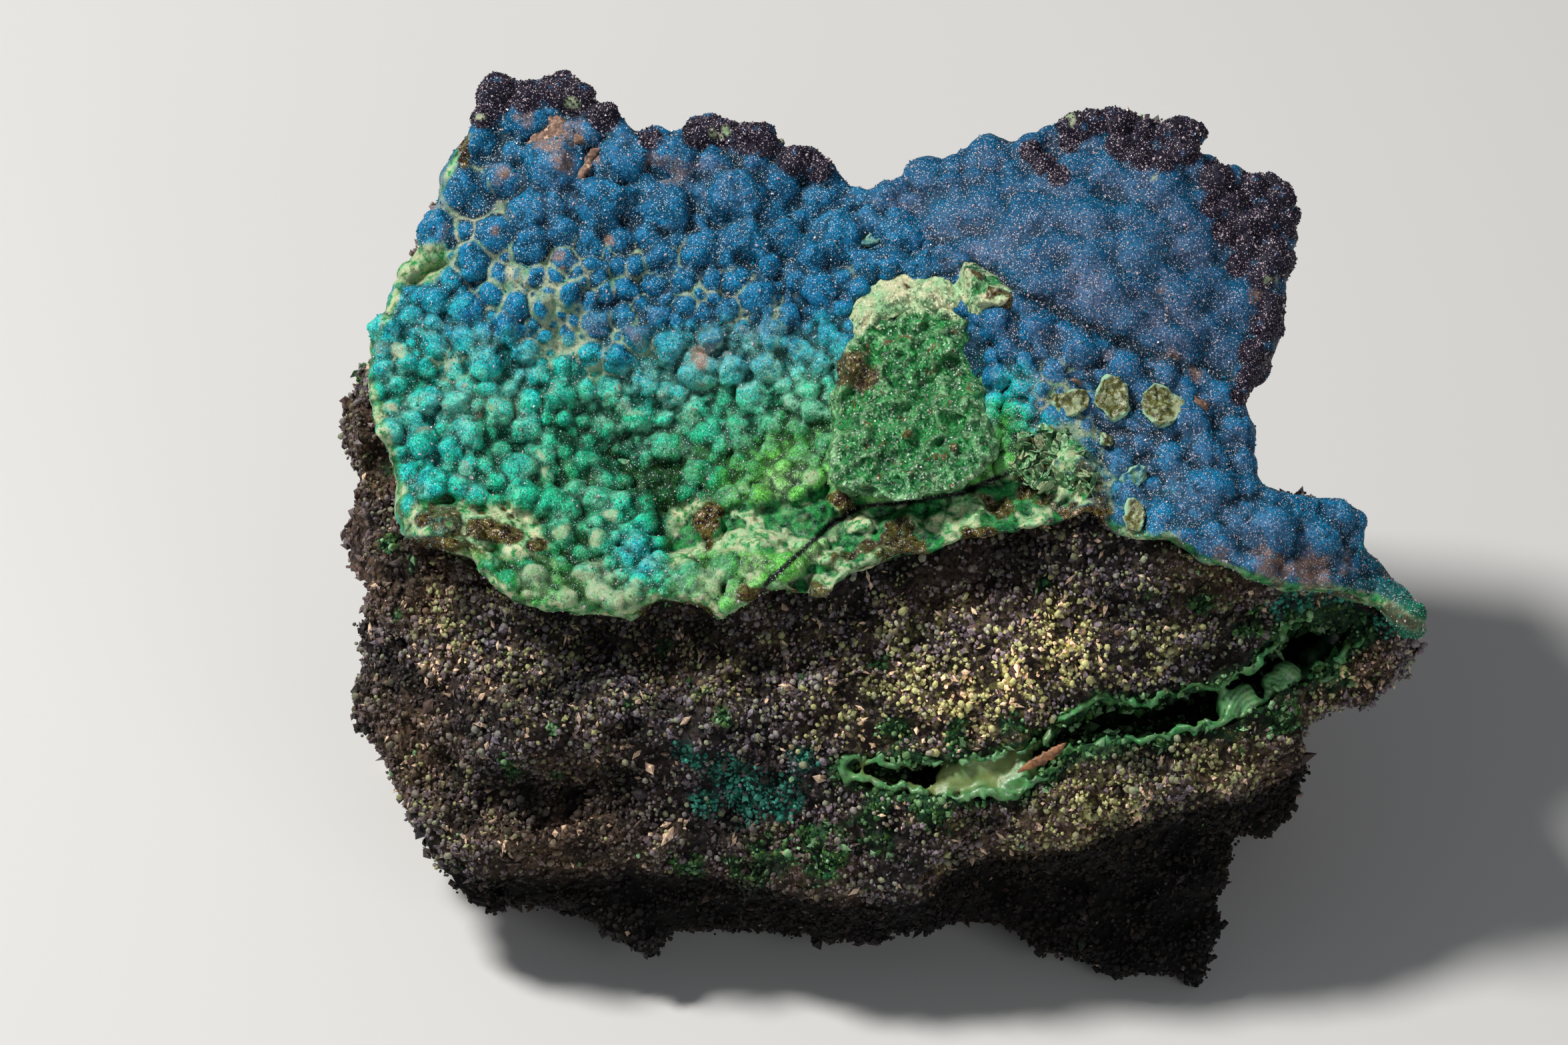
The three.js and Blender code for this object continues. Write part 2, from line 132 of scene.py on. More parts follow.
LARGE_LUMPS = [
    (-20, 27.4, 1.9), (-16.5, 27, 1.7), (-11.6, 24, 2.4), (-21.7, 23.8, 2.1), (-16.9, 23.4, 1.9),
    (-27.4, 30, 1.8), (-29.2, 26, 1.3), (-24.7, 21.6, 1.4), (-4, 21.4, 2.1), (-8, 21.2, 1.6),
    (-29.7, 21.6, 1.8), (-31.3, 19.4, 1.7), (-31.6, 15.7, 1.5), (-28.8, 14.3, 1.4), (-24.5, 19.6, 1.05),
    (-22.6, 19.3, 0.75), (-21.2, 17.1, 0.9), (-21.8, 14.8, 1.2), (-18.9, 13.8, 1.2), (-10, 17, 1.5),
    (-18.9, 19.2, 0.95), (-12.2, 16, 1.1), (-5.4, 17.4, 1.5), (-18.7, 7.7, 1.45), (-21.6, 7.2, 1.3),
    (-21.2, 9.9, 1.15), (-16.4, 5.3, 1.5), (-24.4, -0.9, 1.05), (-21.9, -1.5, 1.1), (-20.9, 0.45, 0.85),
    (-18.6, -1.7, 1.1), (-19.7, -2.7, 0.95), (-18.6, -4.6, 0.95), (-26.2, 4.9, 1.05), (-29.3, 8.3, 1.4),
    (-37, 12.8, 0.8), (-37.4, 8.4, 0.7), (-31.8, 10.2, 1), (-14.4, 11.3, 1.9), (-10.2, 9.1, 1.5),
    (-9.1, 6.8, 1), (-6.9, 6.8, 1), (-11.3, 5.7, 0.95), (-8.9, 5.3, 0.85), (-12.9, 3, 1.1),
    (-10.2, 3.6, 0.95), (-5.9, 3.1, 1.05), (-8, 4.1, 0.8), (-22.9, -3.9, 1.2), (-21.9, -5.4, 1),
    (-19.3, -5.6, 0.9), (-26.6, -4, 1.2), (31.5, -1.6, 1.9), (28, -0.4, 2), (23.6, 2.2, 2),
    (8.9, 8.2, 0.8), (9.4, 6.9, 0.9), (8.7, 5.8, 0.7), (9.4, 10, 0.8), (8, 14.4, 1.5), (10.8, 14.2, 1.4),
    (14, 12.8, 1.6), (17.4, 11.6, 1.5), (12.2, 11.4, 1.1), (20.4, 10.9, 1.2), (24.2, 9.2, 1.4),
    (25.6, 6.8, 1.5), (26, 4.6, 1.2), (23, 5.4, 1.5), (20.4, 4.8, 1.3), (10.2, 12, 1),
]  # fmt: skip
# Dark knobs along the far edge: place and radius.
KNOBS = [
    (-29.7, 32.2, 1.5), (-27.4, 31.9, 1.2), (-25, 32.4, 1.4), (-23.7, 32, 1.4), (-21.6, 30.6, 1.1),
    (-30.6, 30.6, 1), (-14.4, 29.2, 1), (-12.5, 29.5, 1.1), (-10.4, 29, 1.3), (-9.3, 28.2, 0.9),
    (-7.2, 27.2, 1.2), (-5.4, 26.6, 1.1), (14, 29.8, 1.2), (15.2, 30.3, 1.1), (17.2, 29.9, 1),
    (19.2, 29.3, 0.9), (21.4, 29.2, 1.2), (22.2, 27.8, 1.1), (17.4, 28, 0.9), (19, 27.2, 0.9),
    (20.6, 26.9, 0.8), (11.6, 26.6, 0.8), (12.6, 25.8, 0.7), (10.6, 27.6, 0.7), (24.6, 25.6, 1.1),
    (27.6, 25.4, 1.05), (29.4, 24.6, 1.1), (26, 24, 0.9), (28.2, 22.6, 1), (25, 21.6, 0.8),
    (26.8, 20.6, 0.9), (28.6, 20.2, 1), (27.8, 18, 0.8), (28, 14.4, 0.9), (27, 12.4, 0.8),
    (24.2, 23.4, 0.7), (28.4, 16, 0.8), (26, 19, 0.7), (26.6, 22.4, 0.8),
]  # fmt: skip

# Zones of the crust's colour: place, reach, and a step from 0, deep blue, to 1, pale green.
COLOUR_ZONES = [
    (-26, 27, 6, 0.08), (-18, 25, 7, 0.04), (-10, 24, 7, 0.04), (-4, 20, 6, 0.1), (-12, 17, 4, 0.16),
    (-20, 17, 5, 0.16), (-28, 19, 5, 0.12), (-34, 17, 3, 0.28), (-31.4, 15, 2, 0.2), (-31, 11, 3, 0.42),
    (-36, 9, 4, 0.42), (-24, 10, 3, 0.5), (-17, 12, 3, 0.4), (-9, 12, 3, 0.34), (-5, 13, 2, 0.34),
    (-4, 10, 2, 0.56), (-7, 9.4, 1.8, 0.68), (-30, 5, 4, 0.5), (-36, 2, 3, 0.44), (-22, 5, 4, 0.64),
    (-16, 3, 3, 0.72), (-19, 8, 2, 0.58), (-12, 8, 3, 0.62), (-7, 7, 2.6, 0.74), (-9, 3, 3, 0.86),
    (-14, -1, 3, 0.66), (-18.8, -2.4, 1.8, 0.26), (-20.4, 1, 1.6, 0.5), (-26, 0, 3, 0.62),
    (-29, -3, 3, 0.74), (-26.4, -5.6, 1.6, 0.76), (-21, -5.4, 2.4, 0.72), (-12, -4, 3, 0.88),
    (-5, -1, 4, 0.92), (4, 0, 4, 0.84), (9, 4, 2.4, 0.86), (8.8, 7.4, 1.6, 0.84), (9.6, 10.4, 1.4, 0.42),
    (12.6, 7, 1.6, 0.3), (14, 4, 2, 0.4), (14, 10, 4, 0.12), (20, 8, 6, 0.06), (12, 20, 8, 0.04),
    (24, 20, 7, 0.02), (26, 1, 6, 0.1), (19, 2, 3, 0.18), (34, -1, 3, 0.14), (36, -3.4, 2, 0.2),
    (37.4, -5.8, 1.8, 0.46), (39.6, -7.6, 1.6, 0.6),
]  # fmt: skip

# Where a pale film fills the valleys between the lumps: place, reach, strength.
FILM_ZONES = [
    (-32, 25, 2.2, 0.9), (-32, 21.5, 3.2, 1), (-29, 18.5, 3, 1), (-25, 18, 3.2, 1), (-24.6, 14, 3, 1),
    (-20, 18.5, 3, 0.9), (-19.5, 14.5, 3, 0.8), (-15, 18, 3, 0.8), (-11.5, 17, 2.6, 0.7),
    (-22, 11.5, 2.6, 0.7), (-18, 11, 2, 0.4), (-36, 19, 2, 0.8), (-37, 12.6, 1.2, 0.6),
    (-8, 15.8, 2.2, 0.6), (-33, 12.4, 2.6, 0.5), (-28.4, 10, 2.4, 0.4), (12.6, 9.2, 3, 0.85),
    (13, 5.6, 3.2, 0.95), (14.6, 2.6, 2.2, 0.8), (17.5, 0.8, 2.4, 0.5), (21, -0.6, 2, 0.4),
    (-2.6, 19, 1.2, 0.4),
]  # fmt: skip
# Where that film is thick enough to bury the small lumps.
THICK_FILM = [
    (-28, 18.4, 1.3, 0.9), (-25.6, 16.4, 1.3, 1), (-24.4, 13.6, 1.3, 0.9), (-32, 25, 1, 0.7),
    (-30.6, 23.4, 0.8, 0.5), (-33.4, 22.6, 0.9, 0.6), (-22, 11.6, 1.1, 0.5), (12.6, 8.8, 1.2, 0.7),
    (13, 6.2, 1.8, 1), (14.6, 2.6, 1.5, 0.9),
]  # fmt: skip
# Deep places of the crust, painted darker as shade: place, reach, strength.
CRUST_SHADE = [
    (-17, 2.6, 2.2, 1), (-15.4, 1, 1.4, 0.9), (-20.4, 4.4, 1.6, 0.8), (-28.4, 5, 1.6, 0.6),
    (-24.4, 6, 1.2, 0.6), (-13.4, 6.8, 0.9, 0.5), (36.4, -4.6, 2.6, 0.95), (39.4, -7, 2.8, 1),
    (28.6, 13, 1.8, 0.8), (27.4, 10, 1.8, 0.8), (29.4, 17, 1.2, 0.6), (26.2, 8, 1.2, 0.7),
    (-31, 29, 1, 0.5), (-12, -1.2, 1.2, 0.3), (9.6, 3.6, 1.2, 0.5),
]  # fmt: skip

# Where the bloom on the bowl's lumps is thickest: place, reach, strength.
FROST_ZONES = [
    (-8, 10, 4, 1), (-14, 11.6, 3, 0.9), (-11, 7, 2.4, 0.7), (-22, 9, 2.4, 0.5), (-31, 8, 2.4, 0.5),
    (-37, 8, 2, 0.5), (-24.4, -0.6, 1.6, 0.6), (-23, -4.6, 3, 1), (-14, -4, 3, 0.8), (-26, 4.8, 1.4, 0.7),
    (-6, 5, 2, 0.5),
]  # fmt: skip
# The trough that winds through the bowl, sunk and painted darker as shade: place, reach, depth.
DEEP_ZONES = [
    (-22.6, 5.8, 1.6, 0.7), (-19.6, 5.4, 1.4, 1), (-17.4, 2.9, 1.7, 1), (-16.4, 0.4, 1.1, 0.9),
    (-28.6, 5.6, 1.3, 0.5),
]  # fmt: skip
# Patches of brown or pinkish dust: place, reach, strength.
DUST_ZONES = [
    (-25.4, 29, 1.5, 1), (-24.4, 27.2, 1.3, 1), (-27.4, 30.4, 1.2, 0.8), (-22.2, 27.4, 0.5, 1),
    (-22.8, 26.3, 0.45, 0.9), (-29.3, 26, 1.1, 0.8), (-29.7, 21.9, 0.8, 0.8), (-21.2, 21.2, 0.4, 1.1),
    (-24.8, 20, 0.5, 1), (-24.6, 19, 0.4, 0.8), (-14.2, 12.2, 1.3, 0.7), (-11.4, 11.2, 1, 0.6),
    (-15, 8.4, 0.8, 0.5), (-21.4, 9.4, 0.8, 0.5), (-10.4, 9.6, 0.6, 0.5), (-31, 8.4, 0.7, 0.5),
    (-26.2, 5.2, 0.5, 0.6), (15, 15.4, 0.8, 0.5), (20.4, 17.4, 0.8, 0.6), (21, 12.6, 0.9, 0.6),
    (24, 1.8, 0.6, 0.5), (28, -3.8, 1.9, 1), (31, -3.6, 1.9, 1), (24, -2.6, 1.4, 0.7),
    (33.6, -3.4, 1.2, 0.7), (27.6, 12, 1, 0.7), (27.4, 17, 0.8, 0.9), (-1, 24.4, 0.7, 0.6),
    (22.4, 11, 0.9, 0.6), (16, 12.4, 0.6, 0.6),
]  # fmt: skip
# Lavender bloom on the dome, lighter, with a painted sheen where it faces out: place, reach, strength.
HAZE_ZONES = [
    (20, 13.6, 4, 1), (14, 17, 3.6, 0.9), (6, 21, 3.4, 0.9), (0.6, 23.4, 2.4, 0.9), (22, 21, 4, 0.6),
    (14, 23, 4, 0.5), (23, 9.4, 2.4, 0.6), (27, -1, 4, 0.5), (20, 1, 3, 0.4), (-12, 27.6, 3, 0.6),
    (-21, 30, 2.4, 0.6), (-26, 25, 3, 0.3),
]  # fmt: skip

# Dark places: place, reach, strength.
DARK_ZONES = [(a, b + 0.3, 1.5 * radius, 1.0) for a, b, radius in KNOBS] + [
    (-18, 29, 1.2, 0.8), (24.4, 26.4, 1.6, 0.8), (27, 22, 2.6, 0.9), (28.6, 15, 2, 0.7),
    (26.8, 10.6, 1.6, 0.8), (26, 9.4, 1.2, 0.8), (13.4, 28.6, 1.4, 0.7), (18.6, 28.4, 1.8, 0.6),
    (30.8, 25.2, 1.6, 1), (30.6, 22.4, 1.4, 1), (29.8, 19.4, 1.3, 1), (29.4, 16, 1.2, 1),
    (23.4, 30, 1.4, 1), (19, 31, 1.5, 1), (28.4, 12, 1, 0.9),
]  # fmt: skip

# Pale tops of lumps: place and reach.
PALE_SPOTS = [
    (-24.4, -0.6, 0.8), (-21.9, -1.2, 0.8), (-26.2, 5, 0.5), (-26, 4, 0.4), (-37, 13, 0.6),
    (-37.4, 8.6, 0.5), (-29.8, 8.6, 0.3), (-26.4, -4.2, 1.6), (-22.4, -4.8, 2.2), (-19.4, -5.8, 1.6),
    (-20.9, 0.6, 0.6), (-5.9, 3.3, 0.7), (-13.4, -4.4, 1.4), (-11, -5.6, 1.2), (-10.4, -3.4, 1),
    (-23.8, 31.6, 0.5), (-12.4, 29.6, 0.5), (-13.2, 29.3, 0.4), (13.4, 30.8, 0.4), (13.5, 30.1, 0.35),
    (-31.2, 30.6, 0.4), (28.8, 18, 0.5), (19.6, 26, 0.3), (-31.8, 10.4, 0.25), (27.6, 8, 0.6),
]  # fmt: skip


def smooth(t):
    t = np.clip(t, 0, 1)
    return t * t * (3 - 2 * t)


def along(line, x):
    return np.interp(x, [p[0] for p in line], [p[1] for p in line])


def lattice(x, y):
    """Smooth noise from -1 to 1 on whole numbers."""
    i, j = np.floor(x), np.floor(y)
    u, v = smooth(x - i), smooth(y - j)

    def corner(p, q):
        wave = np.sin(p * 127.1 + q * 311.7) * 43758.5453
        return 2 * (wave - np.floor(wave)) - 1

    low = corner(i, j) * (1 - u) + corner(i + 1, j) * u
    high = corner(i, j + 1) * (1 - u) + corner(i + 1, j + 1) * u
    return low * (1 - v) + high * v


def top_plane(b):
    return RIM_HEIGHT - TOP_SLOPE * (b + 6.7)


def front_share(a, b):
    return smooth((along(CRUST_FRONT_RIM, a) - b + 1) / 2.5)


def body_height(a, b):
    left_turn, right_turn = smooth((-26 - a) / 15), smooth((a - 22) / 18)
    top = top_plane(b) - 2.5 * left_turn - 2 * right_turn
    below = along(CRUST_FRONT_RIM, a) - b
    step = LEDGE_STEP * smooth((along(LEDGE_EDGE, a) - b) / 2)
    front = FACE_HEIGHT_ABOVE - 8 * left_turn - 6 * right_turn - 0.12 * below - step
    share = front_share(a, b)
    height = top * (1 - share) + front * share
    for (x, y), (wide, high), rise in BODY_FORMS:
        height = height + rise * np.exp(-0.5 * (((a - x) / wide) ** 2 + ((b - y) / high) ** 2))
    return height


def rock_height(a, b):
    rough = 0.7 * lattice(a / 3.1, b / 3.1) + 0.5 * lattice(a / 1.7 + 9, b / 1.7)
    return body_height(a, b) + rough * front_share(a, b)


def crust_height(a, b):
    bulge = RIM_BULGE * (1 - smooth((b - along(CRUST_FRONT_RIM, a)) / 4))
    swell = 0.5 * lattice(a / 3.4 + 5, b / 3.4 + 2)
    return rock_height(a, b) + CRUST_THICKNESS + bulge + swell - 1.3 * zone_sum(DEEP_ZONES, a, b)


def ridge_height(a, b):
    broken = 0.5 * lattice(a / 2.2 + 3, b / 2.2)
    tilt = 0.16 * (a - 2) - 0.1 * (b - 9)
    return top_plane(b) + CRUST_THICKNESS + RIDGE_RISE + tilt + broken


ROCK_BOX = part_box("matrix")
# The origin's place in the face's own frame: across, by the far left of the rock, and in depth.
ORIGIN_ACROSS = ROCK_BOX[0].x / MM - ROCK_LEFT_END
ORIGIN_DEPTH = 1.215


def to_world(points):
    """Points on the face (a, b, h in millimetres) to the specimen's own frame, in metres."""
    p = np.asarray(points, float)
    lean_s, lean_c = math.sin(FACE_LEAN), math.cos(FACE_LEAN)
    x = p[:, 0] + ORIGIN_ACROSS
    y = p[:, 1] * lean_c - p[:, 2] * lean_s + ORIGIN_DEPTH
    z = p[:, 1] * lean_s + p[:, 2] * lean_c + FACE_CENTRE_HEIGHT
    return np.stack([x, y, z], 1) * MM


def to_face(points):
    """The other way: metres in the specimen's frame to millimetres on the face."""
    p = np.asarray(points, float) / MM - np.array([ORIGIN_ACROSS, ORIGIN_DEPTH, FACE_CENTRE_HEIGHT])
    lean_s, lean_c = math.sin(FACE_LEAN), math.cos(FACE_LEAN)
    b = p[:, 1] * lean_c + p[:, 2] * lean_s
    h = -p[:, 1] * lean_s + p[:, 2] * lean_c
    return np.stack([p[:, 0], b, h], 1)


def inside(outline, a, b):
    """Which points lie inside a closed outline."""
    corners = np.array(outline, float)
    odd = np.zeros(np.shape(a), bool)
    for (x0, y0), (x1, y1) in zip(corners, np.roll(corners, -1, 0)):
        if y0 != y1:
            odd ^= ((y0 > b) != (y1 > b)) & (a < (x1 - x0) * (b - y0) / (y1 - y0) + x0)
    return odd


def distance_to(line, a, b):
    """How far points are from a line of straight stretches."""
    points = np.array(line, float)
    best = np.full(np.shape(a), 1e9)
    for (x0, y0), (x1, y1) in zip(points[:-1], points[1:]):
        dx, dy = x1 - x0, y1 - y0
        t = np.clip(((a - x0) * dx + (b - y0) * dy) / (dx * dx + dy * dy + 1e-12), 0, 1)
        best = np.minimum(best, np.hypot(a - x0 - t * dx, b - y0 - t * dy))
    return best


def edge_distance(outline, a, b):
    """How far points are from the edge of a closed outline."""
    return distance_to(outline + outline[:1], a, b)


def at_place(height, a, b):
    """A height function's value at one place."""
    return float(height(np.array([a]), np.array([b]))[0])


# ------------------------------------------------------------------ solid noise


def on_plane(a, b):
    """Places on the face as points of a flat plane, for the noises."""
    return np.stack([a, b, 0 * a], 1)


class Solid:
    """Repeatable noise and cells through space, for points in millimetres."""

    def __init__(self, seed):
        self.table = np.random.default_rng(seed).random((4096, 4))

    def pick(self, i, j, k, channel):
        index = (i * 73856093) ^ (j * 19349663) ^ (k * 83492791)
        return self.table[index & 4095, channel]

    def noise(self, p, size):
        q = p / size
        low = np.floor(q).astype(np.int64)
        f = smooth(q - low)
        total, share = np.zeros(len(p)), (1 - f, f)
        for di, dj, dk in np.ndindex(2, 2, 2):
            weight = share[di][:, 0] * share[dj][:, 1] * share[dk][:, 2]
            total += weight * self.pick(low[:, 0] + di, low[:, 1] + dj, low[:, 2] + dk, 0)
        return 2 * total - 1

    def fractal(self, p, size, layers=4, gain=0.5):
        total, weight = np.zeros(len(p)), 1.0
        for k in range(layers):
            total += weight * self.noise(p + 31.7 * k, size / 2**k)
            weight *= gain
        return total

    def bends(self, p, size, layers):
        """Three fractal noises, one for each way a point may be moved."""
        return np.stack([self.fractal(p + 9 * k, size, layers) for k in range(3)], 1)

    def cells(self, p, size):
        """Distances to the nearest two cell centres, in cell sizes, and the cell's own number."""
        q = p / size
        low = np.floor(q).astype(np.int64)
        first, second, own = np.full(len(p), 9.0), np.full(len(p), 9.0), np.zeros(len(p))
        for step in np.ndindex(3, 3, 3):
            cell = (low + step - 1).T
            centre = np.stack([cell[axis] + self.pick(*cell, axis) for axis in range(3)], 1)
            d = np.linalg.norm(centre - q, axis=1)
            nearer = d < first
            second = np.where(nearer, first, np.minimum(second, d))
            own = np.where(nearer, self.pick(*cell, 3), own)
            first = np.where(nearer, d, first)
        return first, second, own


# ------------------------------------------------------------------ mesh helpers


def new_mesh(name, points, faces):
    """A mesh from arrays: points in metres, faces all with the same number of corners."""
    faces = np.asarray(faces, np.int32)
    mesh = bpy.data.meshes.new(name)
    mesh.vertices.add(len(points))
    mesh.vertices.foreach_set("co", np.asarray(points, np.float32).ravel())
    corners = faces.shape[1]
    mesh.loops.add(faces.size)
    mesh.loops.foreach_set("vertex_index", faces.ravel())
    mesh.polygons.add(len(faces))
    mesh.polygons.foreach_set("loop_start", np.arange(len(faces), dtype=np.int32) * corners)
    mesh.update(calc_edges=True)
    mesh.validate()
    return mesh


def new_object(name, mesh):
    piece = bpy.data.objects.new(name, mesh)
    bpy.context.scene.collection.objects.link(piece)
    return piece


def coordinates(mesh, normals=False):
    values = np.empty(len(mesh.vertices) * 3, np.float32)
    if normals:
        mesh.vertex_normals.foreach_get("vector", values)
    else:
        mesh.vertices.foreach_get("co", values)
    return values.reshape(-1, 3).astype(float)


def set_coordinates(mesh, points):
    mesh.vertices.foreach_set("co", np.asarray(points, np.float32).ravel())
    mesh.update()


def on_face(mesh):
    """The vertices on the leaned face: across, up and out, in millimetres."""
    return to_face(coordinates(mesh))


def move_to(mesh, face):
    """Puts the vertices at places on the leaned face."""
    set_coordinates(mesh, to_world(face))


def edges_of(mesh):
    pairs = np.empty(len(mesh.edges) * 2, np.int32)
    mesh.edges.foreach_get("vertices", pairs)
    return pairs.reshape(-1, 2)


def averaged(values, pairs, count):
    """Each vertex's mean over its neighbours."""
    values = values.reshape(count, -1)
    degree = np.bincount(pairs.ravel(), minlength=count).astype(float)
    total = np.stack(
        [
            np.bincount(pairs[:, 0], values[pairs[:, 1], k], count)
            + np.bincount(pairs[:, 1], values[pairs[:, 0], k], count)
            for k in range(values.shape[1])
        ],
        1,
    )
    return total / np.maximum(degree, 1)[:, None]


def relax(mesh, steps, amount=0.5, weight=None):
    """Draws each vertex towards its neighbours."""
    points, pairs = coordinates(mesh), edges_of(mesh)
    share = amount if weight is None else amount * weight[:, None]
    for _ in range(steps):
        points += share * (averaged(points, pairs, len(points)) - points)
    set_coordinates(mesh, points)


def push_out(mesh, shift):
    """Moves each vertex out along its normal, by millimetres."""
    set_coordinates(mesh, coordinates(mesh) + coordinates(mesh, normals=True) * (shift * MM)[:, None])


def bulging(mesh, spread):
    """How far each vertex stands out of its surroundings, in millimetres: under 0 in valleys."""
    points, pairs = coordinates(mesh), edges_of(mesh)
    around = points
    for _ in range(spread):
        around = averaged(around, pairs, len(points))
    return np.sum((points - around) * coordinates(mesh, normals=True), 1) / MM


def facing(mesh):
    """How squarely each vertex looks out of the face, from -1 to 1."""
    out = np.array([0, -math.sin(FACE_LEAN), math.cos(FACE_LEAN)])
    return coordinates(mesh, normals=True) @ out


def kept_value(mesh, name):
    values = np.empty(len(mesh.vertices), np.float32)
    mesh.attributes[name].data.foreach_get("value", values)
    return values.astype(float)


def keep_values(mesh, each=1, **named):
    """Keeps named values on the vertices. Each value serves that many vertices in a row."""
    for name, values in named.items():
        attribute = mesh.attributes.get(name) or mesh.attributes.new(name, "FLOAT", "POINT")
        attribute.data.foreach_set("value", np.repeat(np.asarray(values, np.float32), each))


def shade_smooth(mesh, smooth_faces=True):
    mesh.polygons.foreach_set("use_smooth", np.full(len(mesh.polygons), smooth_faces))
    mesh.update()


def shaped(name, carrier, kind, **settings):
    """The mesh that one modifier makes of a carrier, which is thrown away with its own mesh."""
    modifier = carrier.modifiers.new("shaping", kind)
    for key, value in settings.items():
        setattr(modifier, key, value)
    evaluated = carrier.evaluated_get(bpy.context.evaluated_depsgraph_get())
    made = bpy.data.meshes.new_from_object(evaluated)
    made.name = name
    rough = carrier.data
    bpy.data.objects.remove(carrier)
    bpy.data.meshes.remove(rough)
    return made


def grown_together(name, meshes, voxel):
    """One skin round several closed meshes, made of cells of the voxel's size in millimetres."""
    joined = bmesh.new()
    for mesh in meshes:
        joined.from_mesh(mesh)
        bpy.data.meshes.remove(mesh)
    rough = bpy.data.meshes.new(name + "_rough")
    joined.to_mesh(rough)
    joined.free()
    carrier = new_object(name + "_carrier", rough)
    return shaped(name, carrier, "REMESH", mode="VOXEL", voxel_size=voxel * MM)


def thin_out(mesh, hidden, keep):
    """Fewer faces where a vertex is hidden, so that the shown side can have more."""
    carrier = new_object("thinning", mesh)
    group = carrier.vertex_groups.new(name="hidden")
    group.add([int(i) for i in np.nonzero(hidden)[0]], 1.0, "REPLACE")
    return shaped(mesh.name, carrier, "DECIMATE", ratio=keep, vertex_group=group.name)


def ball_template(subdivisions):
    ball = bmesh.new()
    bmesh.ops.create_icosphere(ball, subdivisions=subdivisions, radius=1)
    points = np.array([v.co[:] for v in ball.verts])
    faces = np.array([[v.index for v in f.verts] for f in ball.faces])
    ball.free()
    return points, faces


def balls(name, centres, radii, subdivisions):
    """Many balls in one mesh, from centres and radii in millimetres on the face."""
    points, faces = ball_template(subdivisions)
    centres, radii = np.asarray(centres, float), np.asarray(radii, float)
    everywhere = centres[:, None, :] + points[None] * radii[:, None, None]
    offsets = (np.arange(len(centres)) * len(points))[:, None, None]
    return new_mesh(name, to_world(everywhere.reshape(-1, 3)), (faces[None] + offsets).reshape(-1, 3))


def sheet_between(name, outline, back, front, cell, part=None):
    """A closed sheet over an outline on the face, between two height functions."""
    corners = np.array(outline, float)
    low, high = corners.min(0) - cell, corners.max(0) + cell
    xs, ys = np.arange(low[0], high[0], cell), np.arange(low[1], high[1], cell)
    a, b = np.meshgrid(xs, ys, indexing="ij")
    covered = inside(outline, a[:-1, :-1] + cell / 2, b[:-1, :-1] + cell / 2)
    if part is not None:
        covered &= part(a[:-1, :-1] + cell / 2, b[:-1, :-1] + cell / 2)
    rows, columns = a.shape
    flat_a, flat_b = a.ravel(), b.ravel()
    points = np.concatenate(
        [
            np.stack([flat_a, flat_b, front(flat_a, flat_b)], 1),
            np.stack([flat_a, flat_b, back(flat_a, flat_b)], 1),
        ]
    )
    i, j = np.nonzero(covered)
    corner = i * columns + j
    size = rows * columns
    top = np.stack([corner, corner + columns, corner + columns + 1, corner + 1], 1)
    bottom = top[:, ::-1] + size
    sides = []
    padded = np.pad(covered, 1)
    for di, dj, start, end in (
        (-1, 0, 1, 0),
        (1, 0, columns, columns + 1),
        (0, -1, 0, columns),
        (0, 1, columns + 1, 1),
    ):
        bare = covered & ~padded[1 + di : 1 + di + covered.shape[0], 1 + dj : 1 + dj + covered.shape[1]]
        p, q = np.nonzero(bare)
        base = p * columns + q
        sides.append(np.stack([base + end, base + start, base + start + size, base + end + size], 1))
    faces = np.concatenate([top, bottom, *sides])
    used, inverse = np.unique(faces, return_inverse=True)
    return new_mesh(name, to_world(points[used]), inverse.reshape(-1, 4))


def finish_piece(name, mesh, material, node=None):
    """Puts a piece in the scene: its finish, the body it rides on and the solid it stands for."""
    piece = new_object(name, mesh)
    mesh.materials.clear()
    mesh.materials.append(material)
    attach(piece, "root")
    if node:
        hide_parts(node)


# ------------------------------------------------------------------ sizes and colours a user may change


def linear(red, green, blue):
    """A colour given in the usual 0 to 255 steps, for a shader."""
    return tuple(
        c / 3294.6 if c <= 10.31 else ((c / 255 + 0.055) / 1.055) ** 2.4 for c in (red, green, blue)
    )


def colour_property(name, description, value):
    return bpy.props.FloatVectorProperty(
        name=name, description=description, subtype="COLOR", size=3, min=0, max=1, default=linear(*value)
    )


def size_property(name, description, value, low, high):
    return bpy.props.FloatProperty(name=name, description=description, default=value, min=low, max=high)


def count_property(name, description, value):
    return bpy.props.IntProperty(name=name, description=description, default=value, min=0)


class SpecimenSizes(bpy.types.PropertyGroup):
    """Sizes and counts of the finish."""

    bowl_voxel: size_property("Bowl cell", "Mesh cells of the crust's bowl side (mm)", 0.205, 0.15, 1)
    dome_voxel: size_property("Dome cell", "Mesh cells of the crust's dome side (mm)", 0.25, 0.15, 1)
    rock_voxel: size_property("Rock cell", "Mesh cells of the rock (mm)", 0.56, 0.2, 2)
    ridge_voxel: size_property("Slab cell", "Mesh cells of the green slab (mm)", 0.19, 0.1, 1)
    lining_voxel: size_property("Lining cell", "Mesh cells of the seam's lining (mm)", 0.23, 0.1, 1)
    grain_radius: size_property("Grain radius", "Typical radius of the grains (mm)", 0.16, 0.05, 1)
    sparkle: size_property("Sparkle", "Share of the fine crystals that catch the light", 0.24, 0, 1)
    front_balls: count_property("Front balls", "Round grains on the broken front", 7500)
    front_crystals: count_property("Front crystals", "Small crystals on the broken front", 18500)
    side_crystals: count_property("Side crystals", "Crystals on the sides and back", 10500)
    sparkle_crystals: count_property("Sparkle crystals", "Loose crystals on the crust", 10000)


